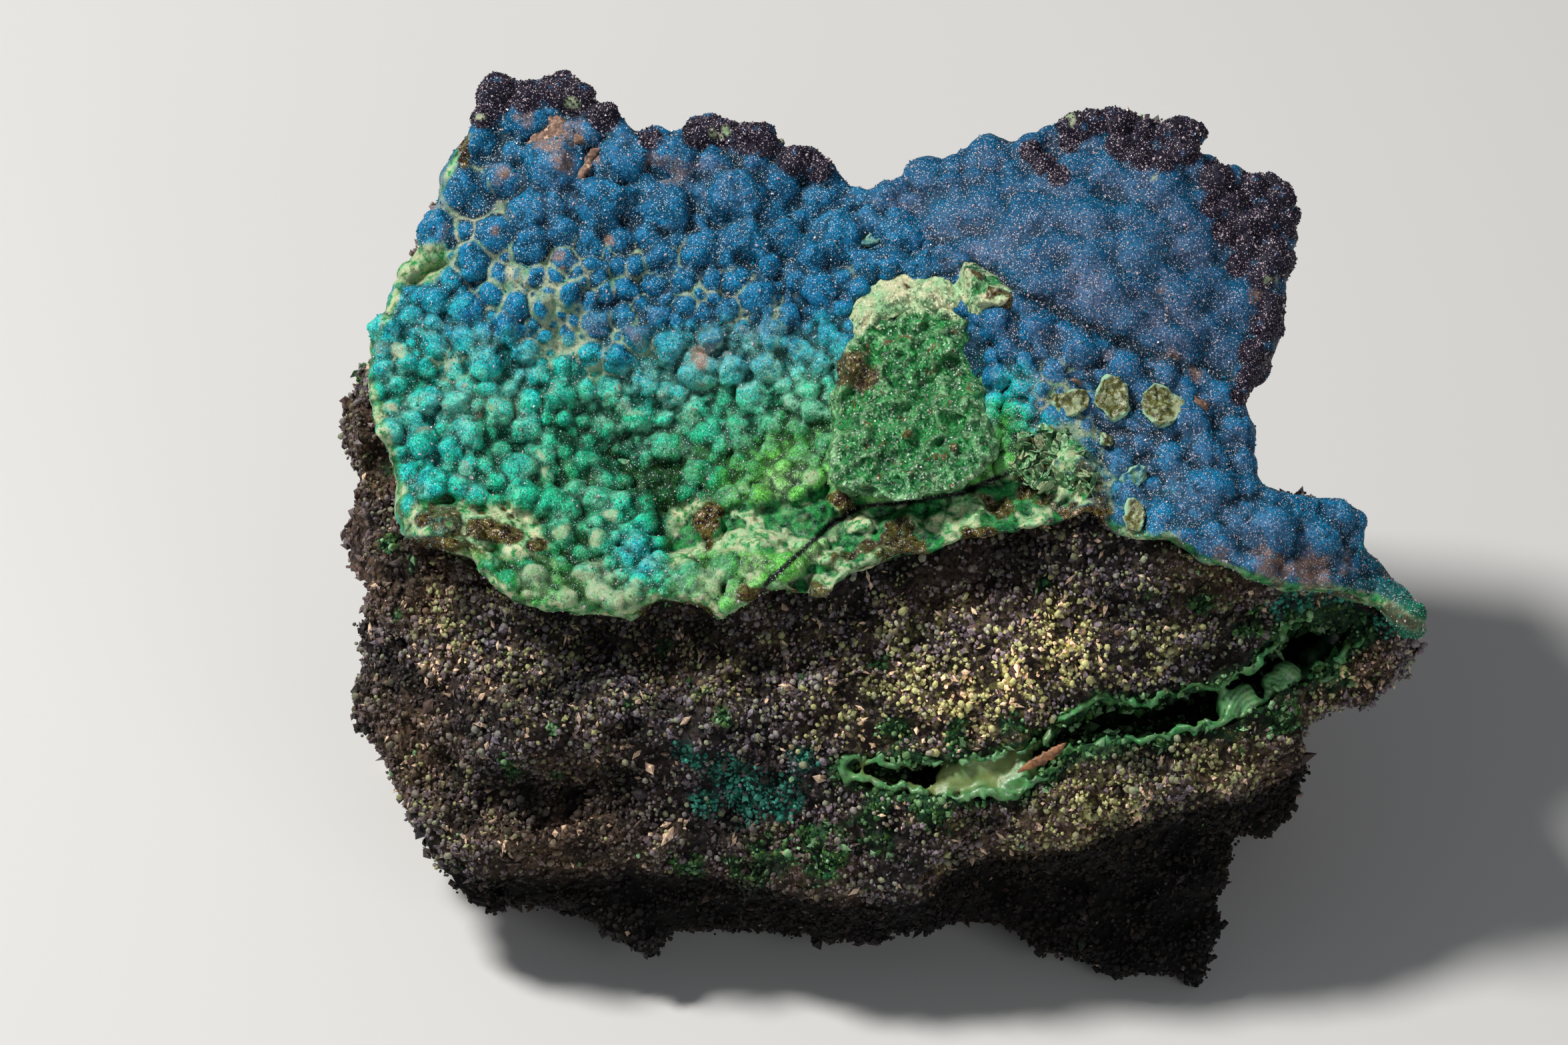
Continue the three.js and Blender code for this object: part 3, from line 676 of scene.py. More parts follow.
class SpecimenColours(bpy.types.PropertyGroup):
    """Colours of the minerals."""

    deep_blue: colour_property("Deep blue", "Crust on its upper parts", (6, 74, 112))
    blue: colour_property("Blue", "Crust below the upper parts", (6, 98, 138))
    turquoise: colour_property("Turquoise", "Crust half way down", (18, 158, 158))
    teal: colour_property("Teal", "Crust round the bowl", (24, 168, 130))
    green: colour_property("Green", "Crust in the bowl", (14, 114, 54))
    leaf: colour_property("Leaf green", "Crust towards its front rim", (92, 172, 66))
    mint: colour_property("Mint", "Pale crust at the front rim", (150, 180, 134))
    film: colour_property("Film", "Pale film in the valleys", (178, 182, 152))
    knob: colour_property("Dark knobs", "Purple-black lumps along the far edge", (34, 26, 38))
    dust: colour_property("Dust", "Pinkish-brown dust", (158, 126, 112))
    dust_dark: colour_property("Dark dust", "Brown of the thickest dust", (104, 78, 62))
    # The lavender bloom, also used as a painted sheen where the crust faces out.
    haze: colour_property("Haze", "Lavender bloom of the dome", (128, 122, 150))
    frost: colour_property("Frost", "Pale bloom on the tops of the bowl's lumps", (146, 202, 172))
    film_green: colour_property("Green film", "Greener parts of the pale film", (104, 150, 116))
    rind_mint: colour_property("Mint rind", "Rind round the broken spots", (150, 196, 160))
    brown: colour_property("Brown glass", "Brown glassy inclusions", (74, 50, 34))
    olive_dark: colour_property("Dark olive", "Olive glass", (92, 92, 34))
    rock_dark: colour_property("Rock", "Purple-grey ground of the rock", (48, 42, 50))
    rock_brown: colour_property("Brown rock", "Brown parts of the rock", (96, 74, 56))
    olive: colour_property("Olive", "Olive grains", (158, 156, 92))
    grey_green: colour_property("Grey green", "Grey-green grains", (152, 162, 128))
    tan: colour_property("Tan", "Pinkish-tan flecks", (224, 194, 166))
    malachite: colour_property("Malachite", "Broken green slab", (42, 136, 68))
    malachite_pale: colour_property("Pale malachite", "Bruised edges of the slab", (146, 194, 142))
    cream: colour_property("Cream", "Cream edge of the slab", (204, 202, 162))
    purple_grey: colour_property("Purple grey", "Small crystals of the rock", (132, 121, 133))
    olive_green: colour_property("Seam green", "Waxy green of the seam", (70, 104, 46))


SIZES = "specimen_sizes"
COLOURS = "specimen_colours"


def sizes():
    return getattr(bpy.context.scene, SIZES)


def colours():
    return getattr(bpy.context.scene, COLOURS)


# ------------------------------------------------------------------ material helpers


class Nodes:
    """A node tree under construction: makes nodes and joins them by name."""

    def __init__(self, tree):
        self.tree = tree

    def add(self, kind, settings=None, **inputs):
        made = self.tree.nodes.new(kind)
        for key, value in (settings or {}).items():
            setattr(made, key, value)
        for key, value in inputs.items():
            self.put(made.inputs[key.replace("_", " ")], value)
        return made

    def put(self, socket, value):
        if isinstance(value, bpy.types.NodeSocket):
            self.tree.links.new(value, socket)
        elif hasattr(value, "__len__") and len(value) == 3 and socket.type == "RGBA":
            socket.default_value = (*value, 1)
        else:
            socket.default_value = value

    def math(self, operation, first, second=0.0, third=0.0, clamp=False):
        made = self.add("ShaderNodeMath", {"operation": operation, "use_clamp": clamp})
        for socket, value in zip(made.inputs, (first, second, third)):
            self.put(socket, value)
        return made.outputs[0]

    def vector(self, operation, first, second=None):
        """Reckons with vectors. The second is a number where the first is scaled."""
        made = self.add("ShaderNodeVectorMath", {"operation": operation})
        self.put(made.inputs[0], first)
        if second is not None:
            self.put(made.inputs["Scale" if operation == "SCALE" else 1], second)
        return made.outputs[0]


class Shader(Nodes):
    """A material under construction."""

    def __init__(self, name):
        self.material = bpy.data.materials.new(name)
        self.material.use_nodes = True
        super().__init__(self.material.node_tree)
        self.surface = self.tree.nodes["Principled BSDF"]
        self.body = None
        self.place = self.add("ShaderNodeTexCoord").outputs["Object"]

    def value(self, attribute):
        return self.add("ShaderNodeAttribute", {"attribute_name": attribute}).outputs["Fac"]

    def times(self, first, second):
        return self.math("MULTIPLY", first, second)

    def scaled(self, value, by, plus, clamp=False):
        """The value times one number, plus another."""
        return self.math("MULTIPLY_ADD", value, by, plus, clamp)

    def rest(self, value):
        """What the value leaves of 1."""
        return self.math("SUBTRACT", 1.0, value)

    def mix(self, share, first, second, blend="MIX"):
        made = self.add("ShaderNodeMix", {"data_type": "RGBA", "blend_type": blend})
        for socket, value in zip((made.inputs[0], made.inputs[6], made.inputs[7]), (share, first, second)):
            self.put(socket, value)
        return made.outputs[2]

    def blend(self, share, first, second):
        """Mixes two vectors."""
        made = self.add("ShaderNodeMix", {"data_type": "VECTOR"})
        for socket, value in zip((made.inputs[0], made.inputs[4], made.inputs[5]), (share, first, second)):
            self.put(socket, value)
        return made.outputs[1]

    def range(self, value, low, high, out_low=0.0, out_high=1.0):
        sockets = {"From_Min": low, "From_Max": high, "To_Min": out_low, "To_Max": out_high}
        return self.add("ShaderNodeMapRange", {"clamp": True}, Value=value, **sockets).outputs["Result"]

    def noise(self, size, detail=3.0, roughness=0.55):
        """Noise with features of the given size in millimetres."""
        sockets = {"Scale": 1 / (size * MM), "Detail": detail, "Roughness": roughness}
        return self.add("ShaderNodeTexNoise", Vector=self.place, **sockets).outputs["Fac"]

    def patches(self, size, low, high, out_low=0.0, out_high=1.0, detail=3.0, roughness=0.55):
        """Noise stretched so that low becomes out_low and high becomes out_high."""
        return self.range(self.noise(size, detail, roughness), low, high, out_low, out_high)

    def cell_distance(self, size):
        """Distance to the middle of cells of the given size in millimetres."""
        cells = self.add("ShaderNodeTexVoronoi", Vector=self.place, Scale=1 / (size * MM))
        return cells.outputs["Distance"]

    def ramp(self, value, *stops):
        """A colour that passes through the stops, each a position and a colour."""
        made = self.add("ShaderNodeValToRGB")
        elements = made.color_ramp.elements
        while len(elements) < len(stops):
            elements.new(1)
        for element, (position, colour) in zip(elements, stops):
            element.position = position
            element.color = (*colour, 1)
        self.put(made.inputs[0], value)
        return made.outputs["Color"]

    def cover(self, share, colour):
        """Lays a colour over the body colour, as fully as its share says."""
        self.body = self.mix(share, self.body, colour)

    def shade(self, value, low, high, start=0.0, end=1.0):
        """Multiplies the body colour by a tint or plain grey, from low at the start to high at the end."""
        low, high = (tint if isinstance(tint, tuple) else (tint,) * 3 for tint in (low, high))
        self.body = self.mix(1.0, self.body, self.ramp(value, (start, low), (end, high)), "MULTIPLY")

    def darken(self, share, tint):
        """Multiplies the body colour by a dark tint where the share is 1."""
        self.body = self.mix(share, self.body, self.mix(1.0, self.body, tint, "MULTIPLY"))

    def finished(self, roughness, normal=None, specular=0.5):
        """The material, once its colour, roughness, gloss and normal reach the surface."""
        self.put(self.surface.inputs["Base Color"], self.body)
        self.put(self.surface.inputs["Roughness"], roughness)
        self.put(self.surface.inputs["Specular IOR Level"], specular)
        if normal is not None:
            self.put(self.surface.inputs["Normal"], normal)
        return self.material

    def glass(self, size, darkest):
        """Mottled brown and olive glass, from its darkest colour to a tan."""
        c = colours()
        steps = (0.36, darkest), (0.46, c.brown), (0.54, c.olive_dark), (0.6, c.brown), (0.68, c.tan)
        return self.ramp(self.noise(size, 4, 0.7), *steps)

    def druse(self, size, tilt, share):
        """The fine crystal faces, of a size in millimetres: their normal, painted glints and chance."""
        normal = self.add("ShaderNodeNewGeometry").outputs["Normal"]
        sockets = {"Position": self.place, "Normal": normal, "Size": size, "Tilt": tilt, "Share": share}
        return self.add("ShaderNodeGroup", {"node_tree": druse_group()}, **sockets).outputs

    def bump(self, height, strength, distance, normal=None):
        """A bump of a height, its distance in millimetres, over another normal where one is given."""
        made = self.add("ShaderNodeBump", Strength=strength, Distance=distance * MM, Height=height)
        if normal is not None:
            self.put(made.inputs["Normal"], normal)
        return made.outputs["Normal"]


def druse_group():
    """Fine crystal faces: each cell tilts its own way, and a few of them are marked as painted glints,
    where they would catch the light.
    """
    name = "Druse sparkle"
    if name in bpy.data.node_groups:
        return bpy.data.node_groups[name]
    tree = bpy.data.node_groups.new(name, "ShaderNodeTree")
    for way, kind, labels in (
        ("INPUT", "Vector", ("Position", "Normal")),
        ("INPUT", "Float", ("Size", "Tilt", "Share")),
        ("OUTPUT", "Vector", ("Normal",)),
        ("OUTPUT", "Float", ("Speck", "Chance")),
    ):
        for label in labels:
            tree.interface.new_socket(label, in_out=way, socket_type="NodeSocket" + kind)
    n = Nodes(tree)
    given, result = n.add("NodeGroupInput").outputs, n.add("NodeGroupOutput").inputs
    scale = n.math("DIVIDE", 1 / MM, given["Size"])
    cell = n.add("ShaderNodeTexVoronoi", Vector=given["Position"], Scale=scale).outputs
    lean = n.vector("SUBTRACT", cell["Color"], (0.5, 0.5, 0.5))
    tilted = n.vector("ADD", given["Normal"], n.vector("SCALE", lean, given["Tilt"]))
    n.put(result["Normal"], n.vector("NORMALIZE", tilted))
    parts = n.add("ShaderNodeSeparateColor", Color=cell["Color"]).outputs
    chance = n.math("FRACT", n.math("MULTIPLY", parts[0], 17.31))
    close = n.math("LESS_THAN", cell["Distance"], 0.42)
    chosen = n.math("LESS_THAN", chance, given["Share"])
    n.put(result["Speck"], n.math("MULTIPLY", close, chosen))
    n.put(result["Chance"], parts[1])
    return tree


# ------------------------------------------------------------------ the crust

CRUST_OUTLINE = CRUST_FAR_EDGE + CRUST_FRONT_RIM[::-1]
CRUST_KEPT = 0.6  # share of the crust's faces kept after its hidden underside is thinned
CRUST_SHEET_CELL = 0.25
EVENING_STEPS = 26  # times that the smooth places are drawn smoother
BOWL_BUMPS, BROAD_BUMPS, KNOB_BUMPS = 1500, 500, 90
# Lump radii tried in turn, from large to small, and how often each is tried.
LUMP_SIZES = (
    (2.6, 400), (2.1, 600), (1.7, 900), (1.4, 2400), (1.1, 5000), (0.85, 10000), (0.62, 24000),
    (0.45, 36000), (0.34, 40000),
)  # fmt: skip
LARGE_IN_BOWL = 0.2  # chance that a try for a large lump counts in the bowl


def nearness(a, b, x, y, reach):
    """1 at a place, falling softly with distance to about a third at its reach."""
    return np.exp(-(((a - x) ** 2 + (b - y) ** 2) / reach**2))


def zone_sum(zones, a, b):
    """How strongly a place lies in any of the zones. A zone without a strength has 1."""
    total = np.zeros(np.shape(a))
    for x, y, reach, *strength in zones:
        total = np.maximum(total, (strength or [1])[0] * nearness(a, b, x, y, reach))
    return total


def crust_tone(a, b):
    """The crust's step between deep blue, 0, and pale green, 1."""
    total, weight = np.zeros(np.shape(a)), np.full(np.shape(a), 1e-9)
    for x, y, reach, tone in COLOUR_ZONES:
        near = nearness(a, b, x, y, reach)
        total += near * tone
        weight += near
    return total / weight


# The crease between the bowl's side and the dome's side: up the face, and across it.
CREASE = ([-8, 0, 4, 12, 17, 25, 34], [9, 9, 8.5, 8, 5, -1, -4])
CREASE_OVERLAP = 0.9


def past_crease(a, b):
    """How far a place is to the right of the crease."""
    return a - np.interp(b, *CREASE)


def right_side(a, b):
    """1 on the dome and lobes right of the crease, 0 on the bowl's side."""
    return smooth((past_crease(a, b) + 0.8) / 1.6)


CLEFT_WIDTH = 0.42
# The step that parts the smooth right dome from the lobes in front of it.
DOME_STEP = [(5.8, 19.4), (9.2, 17.2), (12.4, 15.7), (15.2, 14.3), (18.6, 12.8), (22, 11.6), (26.4, 10.4)]


def dome_share(a, b):
    """1 on the smooth right dome, above its step."""
    step = np.interp(a, [-4, 5.8, 9.2, 15.2, 22, 26.4, 32], [27, 19.4, 17.2, 14.3, 11.6, 10.4, 9])
    return right_side(a, b) * smooth((b - step + 0.3) / 0.9)


def dome_cleft(a, b):
    """1 in the narrow cleft under the dome's step, fading towards its ends: the crust is sunk there and
    painted with shadow.
    """
    ends = smooth((27 - a) / 6) * smooth((a - 5.4) / 2)
    return np.exp(-((distance_to(DOME_STEP, a, b) / CLEFT_WIDTH) ** 2)) * ends


def evenness(a, b):
    """How far the lumps are drawn smooth: most on the dome's middle."""
    away = smooth((distance_to(CRUST_FAR_EDGE, a, b) - 1) / 1.5) * (1 - zone_sum(DARK_ZONES, a, b))
    right, dome = right_side(a, b), dome_share(a, b)
    upper = smooth((b - 17) / 5) * (1 - right)
    bowl = (1 - smooth((b - 13) / 5)) * (1 - right)
    front_right = 0.24 * smooth((a - 10) / 4) + 0.4 * smooth((a - 18) / 3) * smooth((6 - b) / 3)
    by_step = smooth(distance_to(DOME_STEP, a, b) / 0.8)
    return 0.9 * dome * away * by_step + 0.3 * upper + 0.07 * bowl + right * (1 - dome) * front_right


# Where the crust is broken and shows its rind and its inside: outlines on the face.
LIP_BREAK = [
    (-16.6, -0.4), (-16.4, 0.9), (-14.6, 1.6), (-12.5, 1.4), (-9.6, 1.7), (-7.3, 1.7), (-4.9, 3),
    (-1.8, 1.7), (-1.8, 0.7), (-4.8, -0.8), (-7.8, -2.3), (-10.8, -2.1), (-13.8, -2.1), (-16.3, -3.3),
]  # fmt: skip
BAND_BREAK = [
    (-7.8, -5), (-2.4, 1.2), (2.8, 1.9), (8.4, 3.4), (10.3, 4.8), (11.2, 6.7), (13.2, 6.7), (15.2, 4.2),
    (16.1, 2), (16.8, -2), (10, -2.4), (2, -4), (-5, -7), (-8.6, -7),
]  # fmt: skip
LEFT_BREAK = [
    (-36.6, -0.4), (-35.6, 1.5), (-33.4, 1.9), (-31, 1.2), (-28.6, 1.5), (-27, 0.6), (-26, -0.8),
    (-25.6, -1.9), (-27.6, -2.6), (-30, -2.5), (-33, -1.9), (-36, -1),
]  # fmt: skip
LEFT_FACET = [(-38, 17.8), (-37, 20.8), (-33.5, 21), (-33.2, 19.6), (-34.3, 18)]
BREAKS = (LIP_BREAK, BAND_BREAK, LEFT_BREAK, LEFT_FACET)
RIM_LINE = CRUST_FAR_EDGE[:7][::-1] + CRUST_FRONT_RIM

# Pieces set into the crust: a cream rim and chip above the green slab, and broken lumps on its right side.
CREAM_RIM = [
    (-2.9, 13.4), (-3.1, 15.4), (-2, 17.4), (0, 18.3), (1.8, 18.6), (4, 18.4), (5.1, 17.4), (5, 15.6),
    (3.2, 15.7), (1, 15.6), (-0.6, 14.6), (-1.5, 13.2),
]  # fmt: skip
CHIP_OUTLINE = [
    (5, 19.2), (6.2, 19.6), (7.4, 18.4), (9.2, 17.4), (9.4, 16.2), (7.4, 15.4), (5.8, 15.6), (5.2, 17),
]  # fmt: skip
# Outline and kind: 0 olive glass in a mint rind, 1 pale crumbs, 2 a mint ring.
PITS = [
    ([(15.2, 10.3), (16.4, 11.1), (17.6, 10.4), (17.8, 9), (17.3, 7.8), (16.5, 7.5), (15.8, 8.2),
      (15.1, 9.2)], 0),
    ([(18.6, 9.8), (20, 10.3), (21.2, 9.5), (22.3, 8.2), (21.3, 7.9), (20.7, 7.1), (19.5, 7.1),
      (18.5, 8.4)], 0),
    ([(11.8, 9.9), (13.2, 9.6), (14.6, 9.9), (14.9, 8.8), (13.6, 7.9), (12.2, 8.2)], 1),
    ([(-2.5, 21.2), (-2, 21.9), (-1, 21.9), (-0.6, 21.3), (-1.1, 20.8), (-2.1, 20.7)], 2),
    ([(16.8, 3.2), (17.6, 4.3), (18.6, 4.3), (19.1, 3.3), (18.2, 2.6), (17.2, 2.5)], 2),
    ([(17.3, 1.6), (18.2, 1.9), (18.8, 0.6), (18.4, -0.7), (17.5, -0.6), (17.1, 0.5)], 0),
    ([(15.2, 6.2), (15.8, 6.8), (16.4, 6.3), (16.1, 5.7), (15.4, 5.6)], 0),
]  # fmt: skip
CRUMBS = [(13.7, 10.5, 0.6, 0.5), (23.2, 8.7, 1.1, 0.6), (22.6, 9.4, 0.5, 0.4)]


def rounded(outline):
    """The outline with its corners cut twice over."""
    points = np.array(outline, float)
    for _ in range(2):
        after = np.roll(points, -1, 0)
        points = np.stack([0.75 * points + 0.25 * after, 0.25 * points + 0.75 * after], 1).reshape(-1, 2)
    return [tuple(point) for point in points]


CREAM_RIM, CHIP_OUTLINE = rounded(CREAM_RIM), rounded(CHIP_OUTLINE)
PITS = [(rounded(outline), kind) for outline, kind in PITS]
# Crumbly brown beds among the blue lumps.
DUST_BEDS = [
    [(-27.2, 28.4), (-26.4, 30), (-25.2, 30.8), (-23.4, 29.8), (-23, 28.6), (-24.6, 27.8), (-25.4, 27),
     (-27, 27.4)],
    [(-22.6, 27.8), (-22, 27.9), (-22.4, 26.6), (-23.2, 25.6), (-23.9, 25.2), (-23.4, 26.4)],
]  # fmt: skip
SET_IN = [CREAM_RIM, CHIP_OUTLINE] + [outline for outline, kind in PITS] + DUST_BEDS
# Where leafy flakes stand right of the slab.
LEAFY = [(8.8, 3.4), (9.6, 6.4), (11.6, 7.2), (13.6, 6.2), (15.2, 3.6), (14.6, 2), (12, 2.6), (10, 2.6)]
# The darker part of the broken band.
BAND_DARK = [(-1, 1.2), (8.4, 3.2), (10, 2.4), (13, 1.6), (15, 0.2), (12, -1.2), (4, -2.6), (0, -1.6)]
CRACK = [
    (-9.8, -6.4), (-9.4, -4.6), (-7, -2.4), (-4.8, -0.4), (-2.3, 1.2), (1, 1.5), (5.2, 2.2), (8.7, 3.7),
]  # fmt: skip
CRACK_HALF_WIDTH = 0.3

# Brown glassy inclusions: place, half width, half height.
INCLUSIONS = [
    (-34.9, 0.2, 0.6, 0.6), (-30.3, -0.4, 1.2, 1), (-28.6, -1, 1.3, 0.9), (-26.5, -1.6, 0.8, 0.6),
    (-13.7, 0, 1, 1.4), (-3.6, 1.6, 1, 1.1), (-9.4, -5.4, 2.6, 0.6), (-16, -6.6, 3, 0.6),
    (6.5, -0.9, 1.6, 0.6), (14.4, 0.3, 1.6, 0.9), (-34, -1.6, 2, 0.7), (-32.2, 28.2, 0.5, 1.8),
]  # fmt: skip


def shares_of(outlines, a, b, blur):
    """1 inside any of the outlines, 0 outside, with a soft edge."""
    share = np.zeros(np.shape(a))
    for outline in outlines:
        signed = np.where(inside(outline, a, b), 1, -1) * edge_distance(outline, a, b)
        share = np.maximum(share, smooth(signed / blur + 0.5))
    return share


def inclusion_share(a, b, ragged=0.0):
    """1 on the brown glassy inclusions."""
    share = np.zeros(np.shape(a))
    for x, y, wide, high in INCLUSIONS:
        reach = np.hypot((a - x) / wide, (b - y) / high) + ragged
        share = np.maximum(share, smooth((1.15 - reach) / 0.3))
    return share


def conchoidal(a, b, size, solid):
    """Shallow scooped hollows with sharp edges between them, from 0 in a hollow to about 1 on an edge."""
    u, v = a / size, b / size
    fine_u, fine_v = 3 * a / size, 3 * b / size
    flat = on_plane(a, b) + 0.3 * size * on_plane(lattice(u, v), lattice(v + 7, u))
    flat = flat + 0.12 * size * on_plane(lattice(fine_u, fine_v), lattice(fine_v, 4 + fine_u))
    first, second, _ = solid.cells(flat, size)
    return np.clip(1.35 * first**2 + 0.25 * (1 - smooth((second - first) / 0.25)), 0, 1.4)


def break_cavity(a, b):
    """1 in the dark scooped cavities of a broken place, 0 on the pale ridges round them."""
    flat = on_plane(0.8 * a, 1.25 * b)
    darker = 0.45 * shares_of([BAND_DARK], a, b, 1.2)
    return smooth((Solid(SEED["cavities"]).fractal(flat, 2.1, 4, 0.55) + darker + 0.02) / 0.3)


def break_relief(a, b, solid):
    """Height of a broken place: layered lumps and scoops of several sizes, about 0 on the whole."""
    wide = 0.6 * lattice(a / 2.6 + 3, b / 1.5 - 2)
    crumbs = 0.5 * conchoidal(a, b, 1.1, solid) + 0.35 * conchoidal(a + 5, b, 0.55, solid)
    bumps = 0.35 * solid.fractal(on_plane(a, 1.6 * b), 1.3, 3)
    return wide + crumbs + bumps + 0.15 - 1.15 * break_cavity(a, b)


def network(a, b):
    """1 where the lumps stand apart with a pale film between them."""
    return np.clip(zone_sum(FILM_ZONES[:10], a, b) * 1.2, 0, 1)


def lump_habit(a, b):
    """Largest and smallest lump radius, and how far a lump's centre lies under the skin, in radii."""
    dome, right = dome_share(a, b), right_side(a, b)
    upper = smooth((b - 18) / 5) * (1 - right)
    bowl = (1 - smooth((b - 13) / 5)) * (1 - right)
    net = network(a, b)
    largest = 1.35 + 1.4 * upper + 0.1 * bowl + 0.5 * right * (1 - dome) + 1.5 * dome
    smallest = 0.38 + 0.4 * upper - 0.08 * bowl + 0.5 * dome
    sunk = 0.34 + 0.34 * upper - 0.26 * bowl + 0.42 * right * (1 - dome) + 0.56 * dome + 0.08 * net
    return largest, smallest, sunk


def plan_lumps(rng):
    """Places, radii and depths of the crust's lumps, the named large ones first."""
    chosen = [(a, b, r, 0.25 + 0.2 * (b > 18 or a > 7)) for a, b, r in LARGE_LUMPS]
    chosen += [(a, b, r, 0.15) for a, b, r in KNOBS]
    grid = {}

    def near(a, b):
        i, j = int(a // 2.5), int(b // 2.5)
        for di in (-1, 0, 1):
            for dj in (-1, 0, 1):
                yield from grid.get((i + di, j + dj), ())

    def keep(lump):
        grid.setdefault((int(lump[0] // 2.5), int(lump[1] // 2.5)), []).append(lump)

    for lump in chosen:
        keep(lump)
    for radius, tries in LUMP_SIZES:
        a, b = rng.uniform(-39.5, 40, tries), rng.uniform(-8.5, 34.5, tries)
        size = radius * rng.uniform(0.86, 1.14, tries)
        largest, smallest, sunk = lump_habit(a, b)
        fits = inside(CRUST_OUTLINE, a, b) & (size < largest) & (size > smallest)
        fits &= ~inside(RIDGE_OUTLINE, a, b) | (distance_to(RIDGE_OUTLINE, a, b) < 0.5)
        fits &= shares_of(BREAKS, a, b, 1.0) < 0.4
        fits &= shares_of(SET_IN, a, b, 0.6) < 0.6
        fits &= inclusion_share(a, b) < 0.4
        fits &= distance_to(CRUST_FAR_EDGE, a, b) > 0.35 * size
        fits &= distance_to(DOME_STEP, a, b) > 0.7 * size
        fits &= distance_to(CRUST_FRONT_RIM, a, b) > 0.75 * size
        fine_place = np.maximum((1 - smooth((b - 15) / 4)) * (1 - right_side(a, b)), network(a, b))
        common = 1 - fine_place * (1 - LARGE_IN_BOWL - 0.3 * network(a, b)) * smooth((size - 0.72) / 0.5)
        fits &= rng.random(tries) < common
        spread = 0.68 + 0.05 * network(a, b) + 0.04 * (radius < 1) - 0.08 * dome_share(a, b)
        depth = sunk + rng.uniform(-0.25, 0.25, tries) * (1 - dome_share(a, b))
        depth += 0.3 * smooth((0.75 - size) / 0.25) * (1 - right_side(a, b)) * (1 - network(a, b))
        for k in np.nonzero(fits)[0]:
            others = near(a[k], b[k])
            if all(math.hypot(a[k] - o[0], b[k] - o[1]) > spread[k] * (size[k] + o[2]) for o in others):
                lump = (a[k], b[k], size[k], depth[k])
                chosen.append(lump)
                keep(lump)
    return np.array(chosen)


def gap_between(lumps, a, b):
    """How far each place is from the nearest lump, and how much further it is from the second nearest."""
    first, gap = np.empty(len(a)), np.empty(len(a))
    for start in range(0, len(a), 4000):
        part = slice(start, start + 4000)
        away = np.hypot(a[part, None] - lumps[:, 0], b[part, None] - lumps[:, 1]) - lumps[:, 2]
        away.partition(1, axis=1)
        first[part], gap[part] = away[:, 0], away[:, 1] - away[:, 0]
    return first, gap


def edge_lumps(rng):
    """Lumps hanging round the crust's far edge, so that it is rounded from behind too."""
    line = np.array(CRUST_FAR_EDGE, float)
    found = []
    for (x0, y0), (x1, y1) in zip(line[:-1], line[1:]):
        length = math.hypot(x1 - x0, y1 - y0)
        inward = np.array([y1 - y0, x0 - x1]) / length
        for t in np.arange(0.4, length, 1.0):
            for depth in (0.6, 1.7):
                radius = rng.uniform(0.75, 1.25)
                spot = np.array([x0 + (x1 - x0) * t / length, y0 + (y1 - y0) * t / length])
                spot = spot + inward * radius * 0.8 + rng.normal(0, 0.2, 2)
                height = at_place(crust_height, *spot) - depth - 0.3 * rng.random()
                found.append((spot[0], spot[1], height, radius))
    return np.array(found)


def bumps_on(rng, lumps, count, share=(0.24, 0.42)):
    """Smaller lumps seated on the larger ones."""
    weight = np.where(lumps[:, 3] > 0.8, lumps[:, 3] ** 2, 0)
    pick = rng.choice(len(lumps), count, p=weight / weight.sum())
    way = rng.normal(0, 1, (count, 3))
    way[:, 2] = np.abs(way[:, 2]) + 0.15
    way /= np.linalg.norm(way, axis=1)[:, None]
    radius = lumps[pick, 3] * rng.uniform(*share, count)
    centre = lumps[pick, :3] + way * (lumps[pick, 3] - 0.45 * radius)[:, None]
    return np.concatenate([centre, radius[:, None]], 1)


def crust_front(a, b):
    """The sheet under the lumps: scooped where the crust is broken, cut by the crack."""
    solid = Solid(SEED["scoops"])
    broken = shares_of([LIP_BREAK, BAND_BREAK, LEFT_BREAK], a, b, 0.8)
    glassy = inclusion_share(a, b)
    scoops = break_relief(a, b, solid)
    facet = shares_of([LEFT_FACET], a, b, 0.6)
    glass = 0.5 + 0.7 * conchoidal(a, b, 0.8, solid) + 0.3 * conchoidal(a, b + 3, 0.45, solid)
    height = crust_height(a, b) - 0.35
    height = height + broken * (1 - glassy) * (scoops + 0.15) + glassy * glass - 0.7 * facet
    crack = 1 - smooth(distance_to(CRACK, a, b) / CRACK_HALF_WIDTH)
    return height - 1.6 * crack - 0.7 * dome_cleft(a, b)


def crust_lumps():
    """Every lump of the crust as place, height and radius, and the plan of those on its front."""
    rng = np.random.default_rng(SEED["lumps"])
    plan = plan_lumps(rng)
    height = crust_height(plan[:, 0], plan[:, 1]) - plan[:, 3] * plan[:, 2]
    lumps = np.stack([plan[:, 0], plan[:, 1], height, plan[:, 2]], 1)
    a, b = lumps[:, 0], lumps[:, 1]
    low = (1 - smooth((b - 14) / 5)) * (1 - right_side(a, b))
    rough = np.maximum(low, 0.16 * (1 - dome_share(a, b)))
    small = bumps_on(rng, lumps[rng.random(len(lumps)) < rough], BOWL_BUMPS)
    broad = lumps[(b > 17) & (lumps[:, 3] > 1.1) & (dome_share(a, b) < 0.5)]
    small = np.concatenate([small, bumps_on(rng, broad, BROAD_BUMPS, (0.3, 0.52))])
    knobs = lumps[len(LARGE_LUMPS) : len(LARGE_LUMPS) + len(KNOBS)]
    small = np.concatenate([small, bumps_on(rng, knobs, KNOB_BUMPS, (0.3, 0.45))])
    return plan, np.concatenate([lumps, small, edge_lumps(rng)])


